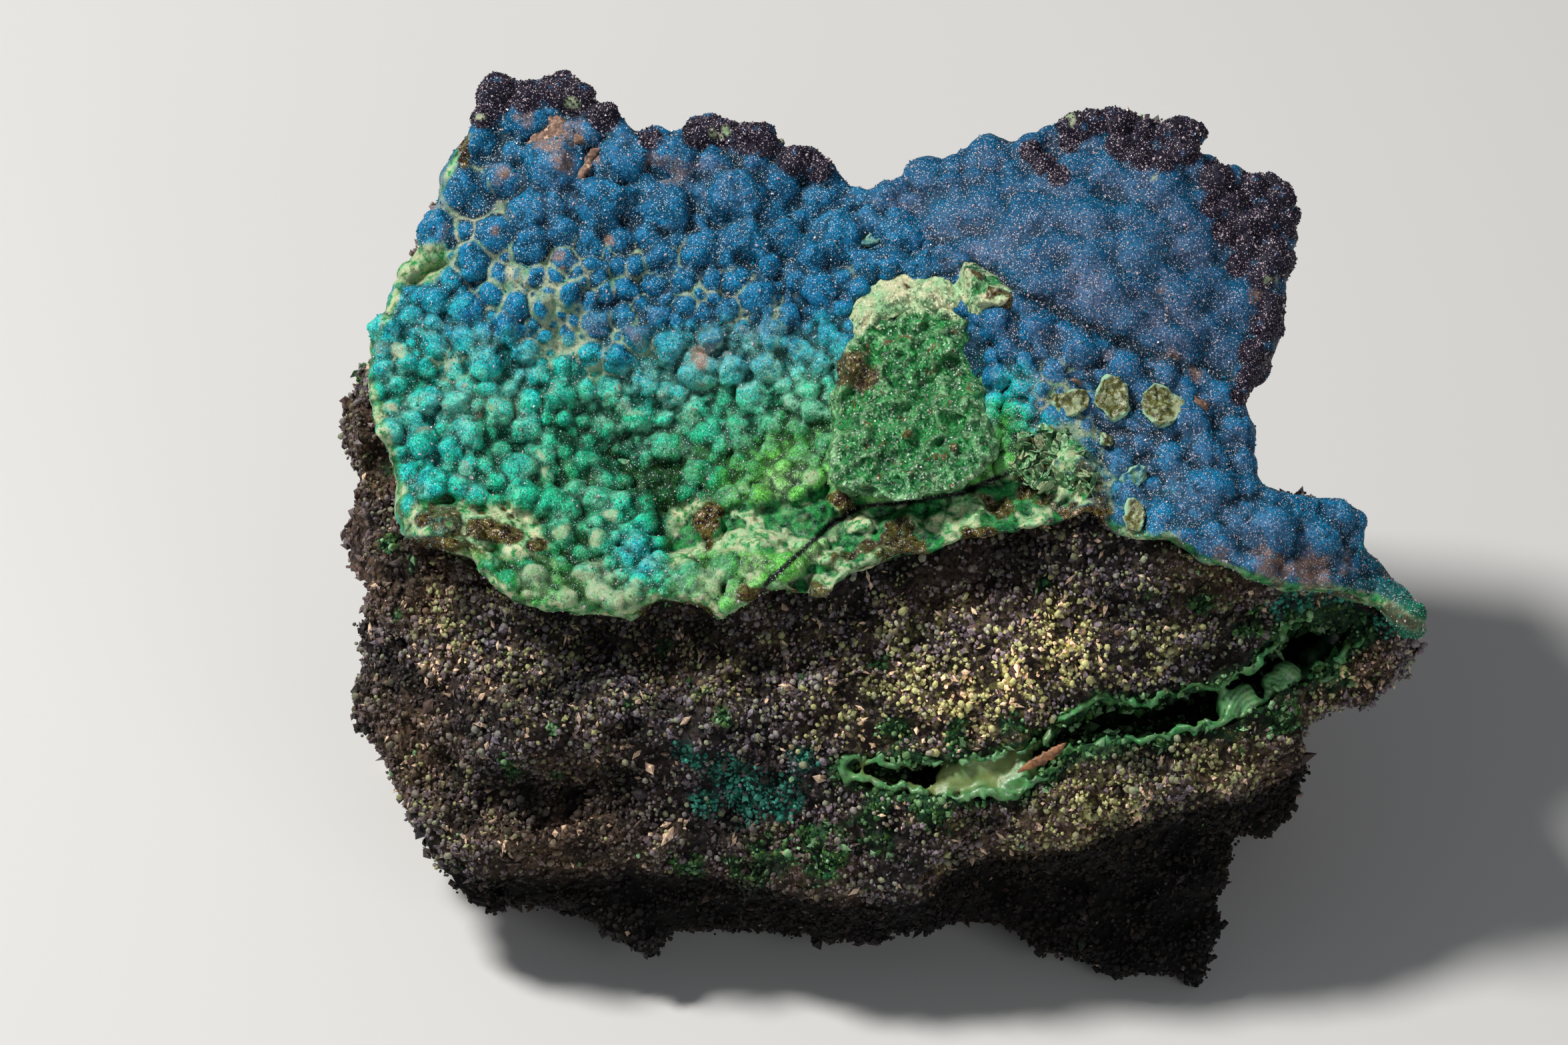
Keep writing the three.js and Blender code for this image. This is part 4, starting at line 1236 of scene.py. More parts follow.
def crust_mesh(name, plan, lumps, voxel, side):
    """The crust left, -1, or right, 1, of its crease. Each side's edge dips under the other."""

    def dip(a, b):
        return np.clip(-side * past_crease(a, b), 0, 2)

    parts = [
        sheet_between(
            name + "_sheet",
            CRUST_OUTLINE,
            lambda a, b: rock_height(a, b) - 0.4 - dip(a, b),
            lambda a, b: crust_front(a, b) - dip(a, b),
            CRUST_SHEET_CELL,
            lambda a, b: side * past_crease(a, b) > -CREASE_OVERLAP,
        )
    ]
    mine = side * past_crease(lumps[:, 0], lumps[:, 1]) > 0
    large = lumps[:, 3] > 0.7
    for chosen, subdivisions in ((mine & large, 3), (mine & ~large, 2)):
        parts.append(balls(name + "_balls", lumps[chosen, :3], lumps[chosen, 3], subdivisions))
    made = grown_together(name + "_skin", parts, voxel)
    relax(made, 1, 0.35)
    face = on_face(made)
    relax(made, EVENING_STEPS, 0.6, evenness(face[:, 0], face[:, 1]))
    under = face[:, 2] < rock_height(face[:, 0], face[:, 1]) + 0.25
    made = thin_out(made, under, CRUST_KEPT)
    face = on_face(made)
    first, gap = gap_between(plan, face[:, 0], face[:, 1])
    keep_values(made, gap=gap, bare=first)
    return made


def paint_crust(mesh):
    """Keeps on each vertex how much of each colour and habit it shows, with its painted shade, light and
    sheen.
    """
    face = on_face(mesh)
    a, b, h = face.T
    solid = Solid(SEED["crust colours"])
    fine = bulging(mesh, 8)
    wander = solid.fractal(face, 4, 3)
    speckle = solid.fractal(face, 1.1, 3)
    rise = h - crust_height(a, b)
    dome, right = dome_share(a, b), right_side(a, b)
    gap, bare = kept_value(mesh, "gap"), kept_value(mesh, "bare")
    broken = shares_of([LIP_BREAK, BAND_BREAK, LEFT_BREAK], a, b, 0.8)
    facet = shares_of([LEFT_FACET], a, b, 0.5)
    flat = on_plane(a, b)
    edge_reach = distance_to(RIM_LINE, a, b) + 0.35 * solid.noise(flat, 1.2)
    below_skin = crust_height(a, b) - h
    rim_width = np.where((a < -28) & (b > 9), 0.4, 0.75)
    hung = smooth((below_skin - 1.1) / 0.8) * smooth(3 - edge_reach)
    rim = np.maximum(smooth((rim_width - edge_reach) / 0.5), hung)
    bowl = (1 - smooth((b - 13) / 4)) * (1 - right)
    tone = crust_tone(a, b) + 0.03 * wander + 0.05 * speckle + bowl * (0.06 - 0.1 * np.clip(rise, -0.6, 1))
    zone = zone_sum(FILM_ZONES, a, b)
    thick = zone_sum(THICK_FILM, a, b) + 0.25 * speckle
    line = smooth((0.1 + 0.2 * zone + 0.6 * thick - gap + 0.1 * speckle) / 0.2)
    film = np.maximum(line, smooth((bare - 0.1) / 0.15)) * smooth((zone + 0.2 * wander - 0.26) / 0.3)
    film = np.maximum(film, smooth((thick - 0.66) / 0.22) * smooth((0.7 + 0.3 * right - rise) / 0.4))
    # Painted shade, kept as hollow: the colour is darkened in the valleys between lumps, in low and
    # concave places, in the shaded zones, in the cleft under the dome's step, in the trough and at the
    # right tip, and less under the film.
    valley = smooth((0.5 - gap) / 0.5) * (1 - dome) * (1 + 0.4 * bowl)
    # The lumps' crests: where pale tops may show, and lightened in the colour as painted light.
    crest = smooth((fine - 0.006) / 0.05)
    deep = smooth((0.12 - rise) / 0.5) * (0.55 + 0.45 * bowl) * (1 - 0.75 * dome)
    shade = zone_sum(CRUST_SHADE, a, b)
    hollow = np.clip(0.42 * valley + 0.7 * deep + 0.6 * smooth((-0.008 - fine) / 0.05) - 0.35 * film, 0, 1)
    hollow = hollow + shade * (0.75 - 0.45 * smooth((rise - 0.5) / 0.6)) + 0.9 * dome_cleft(a, b)
    hollow = hollow + 0.75 * zone_sum(DEEP_ZONES, a, b)
    hollow = np.clip(hollow + 0.7 * smooth((a - 35.6) / 2), 0, 1)
    # Lavender bloom, laid only where the crust faces out, as a painted sheen; the right side gets some
    # sheen wherever it faces out squarely.
    haze = zone_sum(HAZE_ZONES, a, b) * smooth((wander + 0.5) / 0.9) * smooth((facing(mesh) - 0.55) / 0.4)
    haze = np.maximum(haze, 0.35 * right * smooth((facing(mesh) - 0.75) / 0.25))
    dust = smooth((zone_sum(DUST_ZONES, a, b) + 0.35 * speckle - 0.35) / 0.45)
    topped = smooth((solid.noise(face + 31, 2.4) - 0.4) / 0.2) * smooth((rise - 0.2) / 0.4)
    topped = topped * smooth((b - 16) / 3)
    dust = np.maximum(dust, 0.6 * topped * (1 - dome) * smooth((-8 - a) / 5))
    capped = smooth((solid.noise(face + 53, 1.5) - 0.42) / 0.2) * smooth((rise - 0.3) / 0.3)
    capped = capped * smooth((fine - 0.01) / 0.03)
    dust = np.maximum(dust, 0.6 * capped * bowl * smooth((b - 1) / 3))
    frost = 0.5 * smooth((solid.fractal(face, 2.2, 3) + 0.1) / 0.6) + 0.75 * zone_sum(FROST_ZONES, a, b)
    frost = np.clip(frost, 0, 1) * bowl * (1 - shade) * smooth((rise - 0.1) / 0.5)
    dark = smooth((zone_sum(DARK_ZONES, a, b) + 0.12 * wander - 0.42) / 0.15)
    bent_a, bent_b = a + 0.5 * solid.noise(face, 0.9), b + 0.35 * solid.noise(face + 5, 0.7)
    pale = smooth((zone_sum(PALE_SPOTS, bent_a, bent_b) + 0.25 * speckle - 0.36) / 0.3)
    pale = pale * smooth((rise + 0.1) / 0.4)
    pale *= np.where(b < -2.6, 0.2 + 0.65 * crest, 0.85)
    stain = shares_of([BAND_BREAK, LEFT_BREAK], a, b, 1.2) * smooth((wander + 0.6 * speckle + 0.08) / 0.3)
    ragged = 0.45 * solid.fractal(flat, 0.9, 3)
    glassy = np.maximum(inclusion_share(a, b, ragged), 0.9 * stain * smooth((speckle + 0.3) / 0.4))
    cavity = break_cavity(a, b)
    rind = 1 - np.abs(2 * cavity - 1)
    ridge_pale = np.clip(1 - cavity + 0.35 * rind + 0.25 * speckle, 0, 1)
    crack = 1 - smooth((distance_to(CRACK, a, b) - 0.12) / 0.2)
    brown_rim = rim * smooth((a - 19) / 3) * smooth((speckle + 0.5 * wander + 0.25) / 0.4)
    edge = np.where(rim > broken, smooth((speckle + 0.6) / 0.9), ridge_pale)
    keep_values(
        mesh,
        tone=np.clip(tone, 0, 1),
        film=film * (1 - broken) * (1 - rim),
        dust=dust * (1 - broken),
        frost=frost * (1 - broken),
        haze=haze * (1 - broken),
        dark=dark,
        warm=np.maximum(dark, 0.6 * right),
        crest=crest * (1 - 0.6 * dome),
        pale=pale * (1 - facet),
        glassy=glassy,
        broken=np.maximum(np.maximum(broken, rim), facet) * (1 - glassy),
        stain=np.maximum(stain * broken, 0.85 * brown_rim),
        edge=np.where(facet > 0.4, 0.75 + 0.2 * speckle, edge),
        rind=rind * broken,
        crack=crack,
        hollow=hollow,
        upper=np.clip(dome + right + smooth((b - 14) / 6), 0, 1),
    )


def warped(solid, points, wide, narrow):
    """How far each point wanders, in millimetres, for bends about 3 mm and 1.2 mm long."""
    bends = []
    for k in range(3):
        place = points + 40 * k
        bends.append(wide * solid.noise(place, 3.2) + narrow * solid.noise(place + 11, 1.2))
    return np.stack(bends, 1)


def dress_crust(mesh):
    """Bends the lumps out of round and roughens them a little."""
    face = on_face(mesh)
    solid = Solid(SEED["crust bends"])
    face += warped(solid, face, 0.36, 0.14)
    move_to(mesh, face)
    first = solid.cells(face, 0.95)[0]
    knuckle = np.sqrt(np.clip(1 - (first / 0.85) ** 2, 0, 1)) - 0.6
    upper = smooth((face[:, 1] - 15) / 5) * (1 - right_side(face[:, 0], face[:, 1]))
    share = 0.2 - 0.07 * upper - 0.15 * dome_share(face[:, 0], face[:, 1])
    shift = 0.05 * solid.fractal(face, 0.9, 2) + share * knuckle
    push_out(mesh, shift)


def crust_material():
    s, c = Shader("Cornetite druse"), colours()
    wander = s.scaled(s.noise(1.6, 4), 0.16, -0.08)
    tone = s.math("ADD", s.value("tone"), wander)
    steps = (0.0, c.deep_blue), (0.16, c.blue), (0.36, c.turquoise), (0.52, c.teal), (0.7, c.green)
    s.body = s.ramp(tone, *steps, (0.86, c.leaf), (1.0, c.mint))
    share = s.times(s.scaled(s.value("upper"), 0.45, 0.55), sizes().sparkle)
    druse = s.druse(0.1, 0.55, share)
    s.shade(druse["Chance"], 0.5, 1.5)
    # Painted light: the lumps' crests are lightened and the rest darkened.
    s.shade(s.value("crest"), 0.8, 1.3)
    frost = s.times(s.value("frost"), s.patches(0.35, 0.35, 0.62, 0.08, 0.8))
    s.cover(frost, c.frost)
    # Bloom with a painted sheen on the parts that face out.
    haze = s.times(s.value("haze"), s.patches(0.2, 0.35, 0.6, 0.05, 0.6))
    s.cover(haze, c.haze)
    # Painted shade in the valleys, clefts and low places.
    s.darken(s.times(s.value("hollow"), 0.9), (0.07, 0.13, 0.12))
    grain = s.noise(0.45, 2)
    dusty = s.times(s.value("dust"), s.range(grain, 0.3, 0.6, 0.3, 0.95))
    s.cover(dusty, s.mix(s.patches(1.3, 0.35, 0.65), c.dust, c.dust_dark))
    knobs = s.times(s.value("dark"), s.patches(0.9, 0.25, 0.4))
    s.cover(knobs, s.mix(s.noise(1.4), c.knob, (0.012, 0.012, 0.03)))
    film = s.times(s.value("film"), s.patches(0.3, 0.3, 0.55, 0.35, 1.0, roughness=0.6))
    s.cover(film, s.mix(s.patches(1.1, 0.35, 0.65), c.film, c.film_green))
    pale = s.mix(s.patches(0.6, 0.4, 0.6), c.mint, c.film)
    s.cover(s.times(s.value("pale"), s.range(grain, 0.3, 0.55, 0.55, 1.0)), pale)
    deep = s.mix(s.patches(0.7, 0.35, 0.6), (0.002, 0.03, 0.014), c.malachite)
    rinds = s.mix(s.patches(0.8, 0.4, 0.62), c.malachite_pale, c.cream)
    rinds = s.mix(s.patches(0.6, 0.48, 0.6, detail=4, roughness=0.65), rinds, c.malachite)
    inner = s.mix(s.value("edge"), deep, rinds)
    inner = s.mix(s.times(s.value("rind"), 0.8), inner, c.film)
    inner = s.mix(s.value("stain"), inner, s.mix(s.patches(0.6, 0.4, 0.6), (0.012, 0.009, 0.006), c.brown))
    s.cover(s.value("broken"), inner)
    s.cover(s.value("glassy"), s.glass(0.55, (0.006, 0.004, 0.002)))
    # Painted shade: the crack is filled with near black.
    s.cover(s.value("crack"), (0.004, 0.006, 0.004))
    # Painted glints: crystal faces that would catch the light are laid into the colour as pale specks,
    # warmer on the knobs and the right side.
    crystalline = s.rest(s.math("MAXIMUM", s.value("pale"), s.times(s.value("film"), 0.7)))
    crystalline = s.times(crystalline, s.scaled(s.value("broken"), -0.7, 1.0))
    lit = s.times(druse["Speck"], crystalline)
    s.cover(s.times(lit, 0.8), s.mix(s.value("warm"), (0.46, 0.6, 0.66), (0.66, 0.52, 0.56)))
    rough = s.scaled(lit, -0.3, 0.6)
    rough = s.scaled(s.value("broken"), -0.15, rough)
    rough = s.scaled(s.value("glassy"), -0.45, rough, clamp=True)
    facets = s.druse(0.4, 1.3, 0.1)
    height = s.scaled(s.noise(0.16, 2), 0.6, s.noise(0.5))
    faceted = s.math("MAXIMUM", s.value("glassy"), s.times(s.value("broken"), 0.5))
    normal = s.bump(height, 0.5, 0.1, s.blend(faceted, druse["Normal"], facets["Normal"]))
    return s.finished(rough, normal, specular=0.2)


def sparkle_mesh(name, crust, count, seed):
    """Loose crystal faces standing on the crust, thickest on the dark knobs."""
    rng = np.random.default_rng(seed)
    face = on_face(crust)
    a, b = face[:, 0], face[:, 1]
    dull = np.maximum(shares_of(BREAKS, a, b, 0.5), inside(RIDGE_OUTLINE, a, b))
    shown = face[:, 2] > rock_height(a, b) + 0.6
    denser = 0.12 + 1.1 * kept_value(crust, "dark") + 0.15 * kept_value(crust, "upper")
    weight = shown * (1 - dull) * denser
    spot, way = scattered(crust, rng, count, weight)
    size = 0.07 * np.exp(np.clip(rng.normal(0, 0.35, count), -0.7, 0.7))
    place = to_face(spot)
    darker = smooth((zone_sum(DARK_ZONES, place[:, 0], place[:, 1]) - 0.35) / 0.2)
    size *= 1 + 0.1 * darker
    scales = size[:, None] * rng.uniform(0.7, 1.2, (count, 3))
    template = crystal_template()
    made = copies(name, template, spot + way * (0.3 * size * MM)[:, None], scales, turned(rng, count))
    tone = crust_tone(place[:, 0], place[:, 1])
    keep_values(made, len(template[0]), dark=darker, chance=rng.random(count), tone=tone)
    shade_smooth(made, False)
    return made


def sparkle_material():
    s, c = Shader("Sparkling crystals"), colours()
    chance = s.value("chance")
    s.body = s.ramp(s.value("tone"), (0.0, c.blue), (0.36, c.turquoise), (0.52, c.teal), (0.8, c.leaf))
    s.cover(s.value("dark"), c.knob)
    # Painted glints: many of the loose crystals are coloured pale pink as if catching the light, fewer on
    # the dark knobs.
    pale = s.mix(s.noise(3), (0.6, 0.46, 0.47), (0.5, 0.46, 0.52))
    shown = s.scaled(s.value("dark"), 0.3, 0.58)
    s.cover(s.math("GREATER_THAN", chance, shown), pale)
    rough = s.range(chance, 0, 1, 0.35, 0.15)
    return s.finished(rough)


# ------------------------------------------------------------------ the rock

SEAM_OUTLINE = SEAM_UPPER_LIP + SEAM_LOWER_LIP[::-1]
ROCK_KEPT = 0.8  # share of the rock's faces kept after those under the crust are thinned

# Zones of the rock's colour: place, reach, strength.
OLIVE_ZONES = [
    (13, -9.5, 5, 1), (7, -12, 5, 1), (2, -9, 4, 0.7), (19, -9, 4, 0.8), (-1, -14, 5, 0.7),
    (-12, -11, 5, 0.35), (24, -7, 3, 0.6), (14, -21, 6, 0.8), (24, -17, 4, 0.8), (32, -12, 3, 0.8),
    (-24, -10, 5, 0.3), (4, -22, 4, 0.5), (-33, -8, 3, 0.4),
]  # fmt: skip
GREEN_ZONES = [
    (-17, -9.2, 0.6), (-14.6, -10.6, 0.5), (-25.4, -15.4, 0.6), (-23, -12.6, 0.4), (-37.6, -1.6, 0.8),
    (-37, -7, 0.6), (-38, 4, 0.5), (-28.6, -18.6, 0.9), (-12.4, -14.4, 0.8), (0.4, -15.8, 1.6),
    (4.6, -15.4, 1.4), (9, -15, 1.2), (-11, -27, 1.5), (-5, -25.2, 1.8), (-1, -23.6, 1.6),
    (3, -21.6, 1.8), (-15, -26, 1.2), (24.6, -15.4, 1.6), (29, -14.4, 1.5), (33, -11.6, 1.4),
    (31, -20, 1), (29.6, -24, 1.4), (28, -28, 1.6), (11.4, -4.4, 0.6), (19, -5.4, 0.7),
    (-19.6, -13.4, 0.5), (23, -6, 1.2), (26.6, -7.6, 1.5), (30, -9, 1.6), (-9.4, -25.4, 2.2),
    (-5.4, -23.4, 1.9), (-1.4, -21.8, 1.7), (6.4, -20.4, 1.5), (11, -18.8, 1.1), (15, -17.2, 1),
    (20, -16.4, 1.1),
]  # fmt: skip
TEAL_ZONES = [
    (-12.4, -18.6, 1.8), (-10.4, -20.6, 2.2), (-8, -20.4, 2), (-13.6, -21, 1.4), (-6.6, -17.6, 1.2),
    (-14.4, -17.6, 0.8), (30, -6.6, 2), (33.4, -6.8, 2), (36.4, -7.6, 1.6), (-15.6, -17, 0.9),
]  # fmt: skip
BROWN_ZONES = [
    (-37, -4, 5, 1), (-36, -16, 5, 1), (-24, -24, 7, 1), (-8, -30, 7, 1), (10, -28, 8, 1),
    (30, -22, 7, 1), (24, -4.6, 3, 0.9), (30, -6, 3, 0.6), (-38, 6, 4, 1), (36, -9, 3, 0.7),
    (-14, -7.4, 5, 0.6), (6, -2.4, 5, 0.6),
]  # fmt: skip
TAN_ZONES = [
    (12, -10, 4, 1), (5, -13, 4, 0.7), (-34, -12, 4, 0.6), (-30, -14, 3, 0.6), (0, -19.6, 3, 0.5),
    (-20, -12, 4, 0.4), (18, -22, 5, 0.4), (34, -11, 3, 0.6), (-24, -22, 2, 0.8), (-2, -17, 2, 0.7),
]  # fmt: skip
# A pool of light painted on the front, lightening its colour: place, reach, strength.
LIGHT_POOL_ZONES = [
    (8.4, -10.4, 5.2, 1), (3, -12.6, 4.4, 0.8), (13.4, -9.4, 4.2, 0.8), (18, -11.4, 3, 0.5),
    (-6, -13.6, 3.6, 0.35), (-1.6, -16.6, 2.4, 0.6), (14, -21.6, 4, 0.3), (34, -11, 2.4, 0.5),
    (-33, -12, 3, 0.25), (-24, -23.4, 2, 0.4), (0, -21.6, 3, 0.4),
]  # fmt: skip
# Recesses painted dark as shade: place, reach, strength.
SHADE_ZONES = [
    (-25, -6.9, 2, 0.9), (-22, -8.6, 2.4, 1), (-18, -8.4, 2.4, 1), (-14, -8.2, 2.2, 0.9),
    (-30, -19.2, 1.6, 0.9), (-27, -20.4, 2.4, 1), (-24, -20.6, 2.4, 1), (-20, -21, 1.6, 0.8),
    (8, -2.4, 2.4, 0.6), (12, -2.2, 2, 0.7), (-7, -6.6, 2, 0.6), (30.5, -8.4, 1.2, 0.6),
    (33.6, -7.4, 1.8, 0.6), (-14.6, -23.6, 1.6, 0.6), (-9.2, -19.2, 0.9, 1), (-6.6, -19.8, 1.1, 1),
    (-11.6, -22.8, 1.6, 0.9), (-14, -19.6, 0.8, 0.8), (-12.6, -17.6, 0.6, 0.8),
]  # fmt: skip


def rock_mesh():
    """The broken rock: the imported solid's own form, given its smooth curves back and then roughened."""
    made = grown_together("matrix_rock", [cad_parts["matrix"].data.copy()], sizes().rock_voxel)
    face = on_face(made)
    hidden = inside(CRUST_OUTLINE, face[:, 0], face[:, 1]) & (facing(made) > 0.3) & (face[:, 2] > 4)
    inward = edge_distance(CRUST_OUTLINE, face[:, 0], face[:, 1])
    face[:, 2] -= 1.4 * hidden * smooth((inward - 1.5) / 1.5)
    move_to(made, face)
    hidden &= inward > 2
    made = thin_out(made, hidden | (coordinates(made)[:, 2] < 0.02 * MM), ROCK_KEPT)
    face = on_face(made)
    a, b, h = face.T
    curved = rock_height(a, b)
    on_front = (np.abs(h - curved) < 0.9) & (facing(made) > 0.5) & ~inside(CRUST_OUTLINE, a, b)
    face[:, 2] = np.where(on_front, curved, h)
    move_to(made, face)
    relax(made, 2, 0.5)
    points = coordinates(made)
    solid, face = Solid(SEED["rock"]), to_face(points)
    a, b, h = face.T
    on_front = smooth((facing(made) - 0.25) / 0.3) * smooth((h + 2) / 4)
    under_crust = on_front * shares_of([CRUST_OUTLINE], a, b, 1.0)
    mm = points / MM
    broad = 1.5 * solid.fractal(mm, 8, 3, 0.55) - 0.3
    grit = 0.34 * solid.fractal(mm, 1.7, 2)
    first, _, own = solid.cells(mm, 1.5)
    lumps = 0.75 * (0.55 - first) + 0.3 * (own - 0.5)
    shift = broad * (1 - 0.75 * on_front) + (grit + lumps) * (1 - 0.8 * under_crust)
    shift *= smooth(mm[:, 2] / 1.5)
    points = points + coordinates(made, normals=True) * (shift * MM)[:, None]
    points[:, 2] = np.where(mm[:, 2] < 0.4, 0, np.maximum(points[:, 2], 0.05 * MM))
    set_coordinates(made, points)
    keep_values(made, clump=smooth((lumps + grit + 0.28) / 0.5))
    return made


def seam_share(a, b, reach):
    """1 within the seam and its lips, falling to 0 at the given reach."""
    away = np.where(inside(SEAM_OUTLINE, a, b), 0, edge_distance(SEAM_OUTLINE, a, b))
    return smooth(1 - away / reach)


def rock_values(points):
    """Shares of olive, green, teal, brown and tan for points in metres, with their painted shade and
    painted light.
    """
    face = to_face(points)
    a, b, h = face.T
    front = smooth((h + 4) / 6)
    solid = Solid(SEED["rock colours"])
    wander = solid.fractal(face, 3, 3)
    fine = solid.fractal(face, 0.9, 2)
    olive = np.clip(zone_sum(OLIVE_ZONES, a, b) + 0.25 * wander, 0, 1) * front
    green = smooth((zone_sum(GREEN_ZONES, a, b) + 0.5 * fine - 0.36) / 0.45) * front
    green = np.maximum(green, front * smooth((seam_share(a, b, 1.6) + 0.3 * fine - 0.35) / 0.4))
    stray = smooth((solid.noise(face, 2.1) + 0.5 * fine - 0.95) / 0.2)
    teal = smooth((zone_sum(TEAL_ZONES, a, b) + 0.2 * fine - 0.3) / 0.3) * front
    brown = np.clip(zone_sum(BROWN_ZONES, a, b) + 0.3 * wander, 0, 1) * front
    brown = brown + (1 - front) * (0.65 + 0.3 * wander)
    tan = np.clip(zone_sum(TAN_ZONES, a, b) + 0.3 * wander, 0, 1) * front
    # Painted shade: below the ledge, in the listed recesses and in clefts drawn from noise.
    below_ledge = smooth((along(LEDGE_EDGE, a) - b - 0.3) / 1.2)
    # Painted light: a pool of light on the front, and lighter patches of random tone on the sides and
    # back.
    bright = np.clip(zone_sum(LIGHT_POOL_ZONES, a, b) + 0.15 * wander, 0, 1) * front
    bright = bright + 0.5 * (1 - front) * smooth((solid.fractal(face, 7, 3) + 0.05) / 0.6)
    # Painted shade of clefts, less where the light pool falls.
    cleft = smooth((solid.fractal(face * (0.8, 1.5, 1), 2.6, 3) - 0.3) / 0.3)
    cleft = cleft * 0.75 * front * (1 - 0.7 * bright)
    shade = np.maximum(np.maximum(below_ledge, zone_sum(SHADE_ZONES, a, b)) * front, cleft)
    return {
        "shade": np.clip(shade, 0, 1),
        "bright": bright,
        "olive": olive,
        "green": np.maximum(green, stray * 0.9),
        "teal": teal,
        "brown": np.clip(brown, 0, 1),
        "tan": tan,
    }


def rock_material():
    s, c = Shader("Granular rock"), colours()
    s.body = s.mix(s.scaled(s.noise(3, 4), 0.4, s.value("brown"), clamp=True), c.rock_dark, c.rock_brown)
    druse = s.druse(0.42, 1.3, 0.04)
    s.shade(druse["Chance"], 0.25, 1.7)
    spots = s.patches(0.55, 0.5, 0.62)
    s.cover(s.times(s.value("olive"), spots), c.olive)
    fleck = s.patches(0.8, 0.56, 0.66, detail=4, roughness=0.7)
    s.cover(s.times(fleck, s.scaled(s.value("tan"), 0.7, 0.2)), c.tan)
    # Painted light: lightened where the light pool falls, and on the back's lighter patches.
    s.shade(s.value("bright"), 0.9, (1.8, 1.7, 1.6))
    s.cover(s.times(s.value("teal"), 0.7), s.mix(spots, (0.004, 0.05, 0.05), c.teal))
    s.cover(s.value("green"), s.mix(spots, (0.01, 0.07, 0.025), c.olive_green))
    # Painted glints: crystal faces that would catch the light.
    lit = druse["Speck"]
    s.cover(s.times(lit, 0.6), (0.45, 0.37, 0.3))
    # Painted shade under the ledge, in the recesses and in the clefts.
    s.darken(s.value("shade"), (0.03, 0.025, 0.025))
    # Painted shade: darker between the rock's lumps.
    pit = s.scaled(s.value("clump"), 0.65, 0.35)
    s.shade(pit, 0, 1)
    height = s.scaled(s.noise(0.3, 4, 0.65), 1.2, s.times(s.cell_distance(0.5), -1.4))
    rough = s.scaled(s.value("shade"), 0.3, s.scaled(lit, -0.4, 0.62))
    normal = s.bump(height, 0.9, 0.35, druse["Normal"])
    return s.finished(rough, normal, specular=0.3)


# ------------------------------------------------------------------ grains on the rock


def scattered(mesh, rng, count, weight):
    """Random places on a mesh, denser where the weight is greater: points and normals, in metres."""
    mesh.calc_loop_triangles()
    corners = np.empty(len(mesh.loop_triangles) * 3, np.int32)
    mesh.loop_triangles.foreach_get("vertices", corners)
    corners = corners.reshape(-1, 3)
    points, normals = coordinates(mesh), coordinates(mesh, normals=True)
    p, q, r = points[corners[:, 0]], points[corners[:, 1]], points[corners[:, 2]]
    area = 0.5 * np.linalg.norm(np.cross(q - p, r - p), axis=1)
    chance = area * weight[corners].mean(1)
    pick = rng.choice(len(corners), count, p=chance / chance.sum())
    u, v = rng.random(count), rng.random(count)
    fold = u + v > 1
    u, v = np.where(fold, 1 - u, u), np.where(fold, 1 - v, v)
    shares = np.stack([1 - u - v, u, v], 1)[:, :, None]
    spot = (points[corners[pick]] * shares).sum(1)
    way = (normals[corners[pick]] * shares).sum(1)
    return spot, way / np.linalg.norm(way, axis=1)[:, None]


def turned(rng, count):
    """Random turns, as matrices."""
    q = rng.normal(0, 1, (count, 4))
    q /= np.linalg.norm(q, axis=1)[:, None]
    w, x, y, z = q.T
    rows = [
        [1 - 2 * (y * y + z * z), 2 * (x * y - z * w), 2 * (x * z + y * w)],
        [2 * (x * y + z * w), 1 - 2 * (x * x + z * z), 2 * (y * z - x * w)],
        [2 * (x * z - y * w), 2 * (y * z + x * w), 1 - 2 * (x * x + y * y)],
    ]
    return np.moveaxis(np.array(rows), 2, 0)


def copies(name, template, centres, scales, turns):
    """Many copies of one small closed form in one mesh; centres in metres, scales in millimetres."""
    points, faces = template
    shaped = points[None] * scales[:, None, :]
    placed = np.einsum("nij,nkj->nki", turns, shaped) * MM + centres[:, None, :]
    offsets = (np.arange(len(centres)) * len(points))[:, None, None]
    return new_mesh(name, placed.reshape(-1, 3), (faces[None] + offsets).reshape(-1, 3))


def crystal_template():
    """A small blunt crystal with eight faces."""
    points = [(1, 0, 0), (0, 0.8, 0), (-0.9, 0.1, 0), (0, -0.9, 0.1), (0, 0, 1.3), (0.1, 0, -1.1)]
    upper = [(0, 1, 4), (1, 2, 4), (2, 3, 4), (3, 0, 4)]
    lower = [(1, 0, 5), (2, 1, 5), (3, 2, 5), (0, 3, 5)]
    return np.array(points, float), np.array(upper + lower)


def grains(name, rock, rng, count, weight, radius, lift, rounded):
    """Grains on the rock, round ones or crystals, some of them standing on others."""
    template = ball_template(1) if rounded else crystal_template()
    spot, way = scattered(rock, rng, count, weight)
    size = radius * np.exp(np.clip(rng.normal(0, 0.34, count), -0.8, 0.75))
    scales = size[:, None] * rng.uniform(0.7, 1.35, (count, 3))
    chance = rng.random(count)
    if not rounded:
        scales[chance > 0.9] *= (2.1, 1.2, 0.6)
    stacked = rng.random(count) ** 2 * lift
    centres = spot + way * ((stacked + 0.1 * size) * MM)[:, None]
    centres[:, 2] = np.maximum(centres[:, 2], np.maximum(size * 1.6, scales.max(1) * 1.2) * MM)
    made = copies(name, template, centres, scales, turned(rng, count))
    ball = np.full(count, float(rounded))
    keep_values(made, len(template[0]), chance=chance, ball=ball, **rock_values(centres))
    shade_smooth(made, rounded)
    return made


